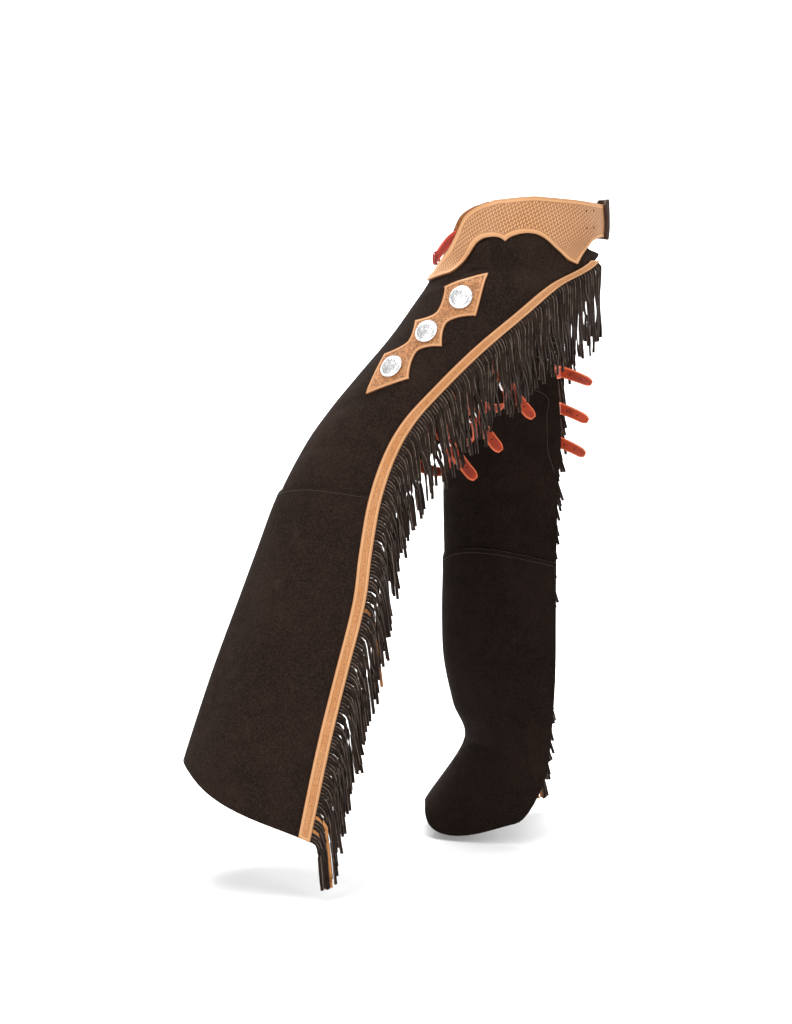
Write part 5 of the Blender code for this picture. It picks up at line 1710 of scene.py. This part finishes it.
def studio(paper):
    """A sweep of paper under and behind, soft lights and a white world."""
    bm = bmesh.new()
    profile = [(6.0, GROUND), (-2.6, GROUND)]
    profile += [(-2.6 - 1.6 * math.sin(t), GROUND + 1.6 * (1 - math.cos(t)))
                for t in np.linspace(0, math.pi / 2, 16)[1:]]
    profile.append((-4.2, 4.0))
    corners = [bm.verts.new((x, -7.0, z)) for x, z in profile]
    edges = [bm.edges.new(pair) for pair in zip(corners, corners[1:])]
    made = bmesh.ops.extrude_edge_only(bm, edges=edges)
    moved = [v for v in made["geom"] if isinstance(v, bmesh.types.BMVert)]
    bmesh.ops.translate(bm, verts=moved, vec=(0.0, 14.0, 0.0))
    for face in bm.faces:
        face.smooth = True
        face.normal_update()
    if bm.faces[:][0].normal.z < 0:
        bmesh.ops.reverse_faces(bm, faces=bm.faces)
    mesh_data = bpy.data.meshes.new("paper sweep")
    bm.to_mesh(mesh_data)
    bm.free()
    mesh_data.materials.append(paper)
    sweep = bpy.data.objects.new("paper_sweep", mesh_data)
    bpy.context.scene.collection.objects.link(sweep)
    for name, place, size, power, aim in STUDIO_LIGHTS:
        light = bpy.data.lights.new(name, "AREA")
        light.shape = "RECTANGLE"
        light.size = light.size_y = size
        light.energy = power
        lamp = bpy.data.objects.new(name, light)
        lamp.location = place
        lamp.rotation_euler = (Vector(aim) - Vector(place)).to_track_quat("-Z", "Y").to_euler()
        bpy.context.scene.collection.objects.link(lamp)
    world = bpy.data.worlds.new("studio")
    world.use_nodes = True
    world.node_tree.nodes["Background"].inputs["Color"].default_value = (1, 1, 1, 1)
    world.node_tree.nodes["Background"].inputs["Strength"].default_value = 0.62
    bpy.context.scene.world = world
    bpy.context.scene.view_settings.view_transform = "Standard"


# Soft lights: name, place, size, power and the place each one faces.
STUDIO_LIGHTS = (
    ("front_left_softbox", (3.0, -2.6, 1.6), 1.8, 72, (0, -0.2, -0.5)),
    ("rear_right_softbox", (2.6, 2.6, 0.9), 1.8, 34, (0, -0.1, -0.5)),
    ("overhead_softbox", (0.6, -0.2, 2.6), 2.4, 60, (0, -0.2, -0.5)),
    ("backdrop_wash", (-1.6, 0.0, 2.4), 3.0, 220, (-3.6, 0, -0.4)),
)


def camera():
    data = bpy.data.cameras.new("camera")
    data.lens = 87.9
    data.sensor_width = 36.0
    made = bpy.data.objects.new("camera", data)
    tilt = math.radians(6.55)
    made.location = (4.0, -0.203, -0.0435)
    way = Vector((-math.cos(tilt), 0.0, -math.sin(tilt)))
    made.rotation_euler = way.to_track_quat("-Z", "Y").to_euler()
    bpy.context.scene.collection.objects.link(made)
    bpy.context.scene.camera = made


class CHAPS_OT_legs(bpy.types.Operator):
    """Make the suede leg panels with their knee and patch sewing"""

    bl_idname = "chaps.legs"
    bl_label = "Leg leather"

    def execute(self, context):
        for side in SIDES:
            leg_leather(side, all_finishes())
            patch_sewing(side, all_finishes())
        return {"FINISHED"}


class CHAPS_OT_yokes(bpy.types.Operator):
    """Make the basket-stamped hip yokes"""

    bl_idname = "chaps.yokes"
    bl_label = "Hip yokes"

    def execute(self, context):
        for side in SIDES:
            hip_yoke(side, all_finishes())
        return {"FINISHED"}


class CHAPS_OT_trims(bpy.types.Operator):
    """Make the tooled trims down the outer edges"""

    bl_idname = "chaps.trims"
    bl_label = "Edge trims"

    def execute(self, context):
        for side in SIDES:
            edge_trim(side, all_finishes())
        return {"FINISHED"}


class CHAPS_OT_fringes(bpy.types.Operator):
    """Make the cut suede fringes"""

    bl_idname = "chaps.fringes"
    bl_label = "Fringes"

    def execute(self, context):
        for side in SIDES:
            fringe(side, all_finishes())
        return {"FINISHED"}


class CHAPS_OT_diamonds(bpy.types.Operator):
    """Make the carved diamond panels with their conchos"""

    bl_idname = "chaps.diamonds"
    bl_label = "Diamond panels"

    def execute(self, context):
        for side in SIDES:
            diamond_panel(side, all_finishes())
        return {"FINISHED"}


class CHAPS_OT_straps(bpy.types.Operator):
    """Make the thigh straps, chapes and buckles"""

    bl_idname = "chaps.straps"
    bl_label = "Thigh straps"

    def execute(self, context):
        for side in SIDES:
            for strap in side.fit.straps:
                thigh_strap(side, strap, all_finishes())
        return {"FINISHED"}


class CHAPS_OT_joining(bpy.types.Operator):
    """Make the back panel and the front strap that join the two sides"""

    bl_idname = "chaps.joining"
    bl_label = "Back panel and front strap"

    def execute(self, context):
        back_panel(all_finishes())
        front_strap(all_finishes())
        return {"FINISHED"}


class CHAPS_OT_stage(bpy.types.Operator):
    """Make the studio paper, the lights and the camera"""

    bl_idname = "chaps.stage"
    bl_label = "Studio"

    def execute(self, context):
        studio(floor_finish(colours().paper))
        camera()
        return {"FINISHED"}


STEPS = (CHAPS_OT_legs, CHAPS_OT_yokes, CHAPS_OT_trims, CHAPS_OT_fringes, CHAPS_OT_diamonds,
         CHAPS_OT_straps, CHAPS_OT_joining, CHAPS_OT_stage)


class CHAPS_PT_panel(bpy.types.Panel):
    """The steps in order, with the sizes and colours they use"""

    bl_label = "Fringed leather chaps"
    bl_space_type = "VIEW_3D"
    bl_region_type = "UI"
    bl_category = "Chaps"

    def draw(self, context):
        for step in STEPS:
            self.layout.operator(step.bl_idname)
        for group, kind in ((context.scene.chaps_sizes, ChapsSizes),
                            (context.scene.chaps_colours, ChapsColours)):
            box = self.layout.box()
            for name in kind.__annotations__:
                box.prop(group, name)


CLASSES = (ChapsColours, ChapsSizes, *STEPS, CHAPS_PT_panel)


def register():
    for kind in CLASSES:
        bpy.utils.register_class(kind)
    bpy.types.Scene.chaps_colours = bpy.props.PointerProperty(type=ChapsColours)
    bpy.types.Scene.chaps_sizes = bpy.props.PointerProperty(type=ChapsSizes)


def unregister():
    del bpy.types.Scene.chaps_sizes
    del bpy.types.Scene.chaps_colours
    for kind in reversed(CLASSES):
        bpy.utils.unregister_class(kind)


def main():
    register()
    for step in STEPS:
        family, name = step.bl_idname.split(".")
        getattr(getattr(bpy.ops, family), name)()


if __name__ == "__main__":
    main()
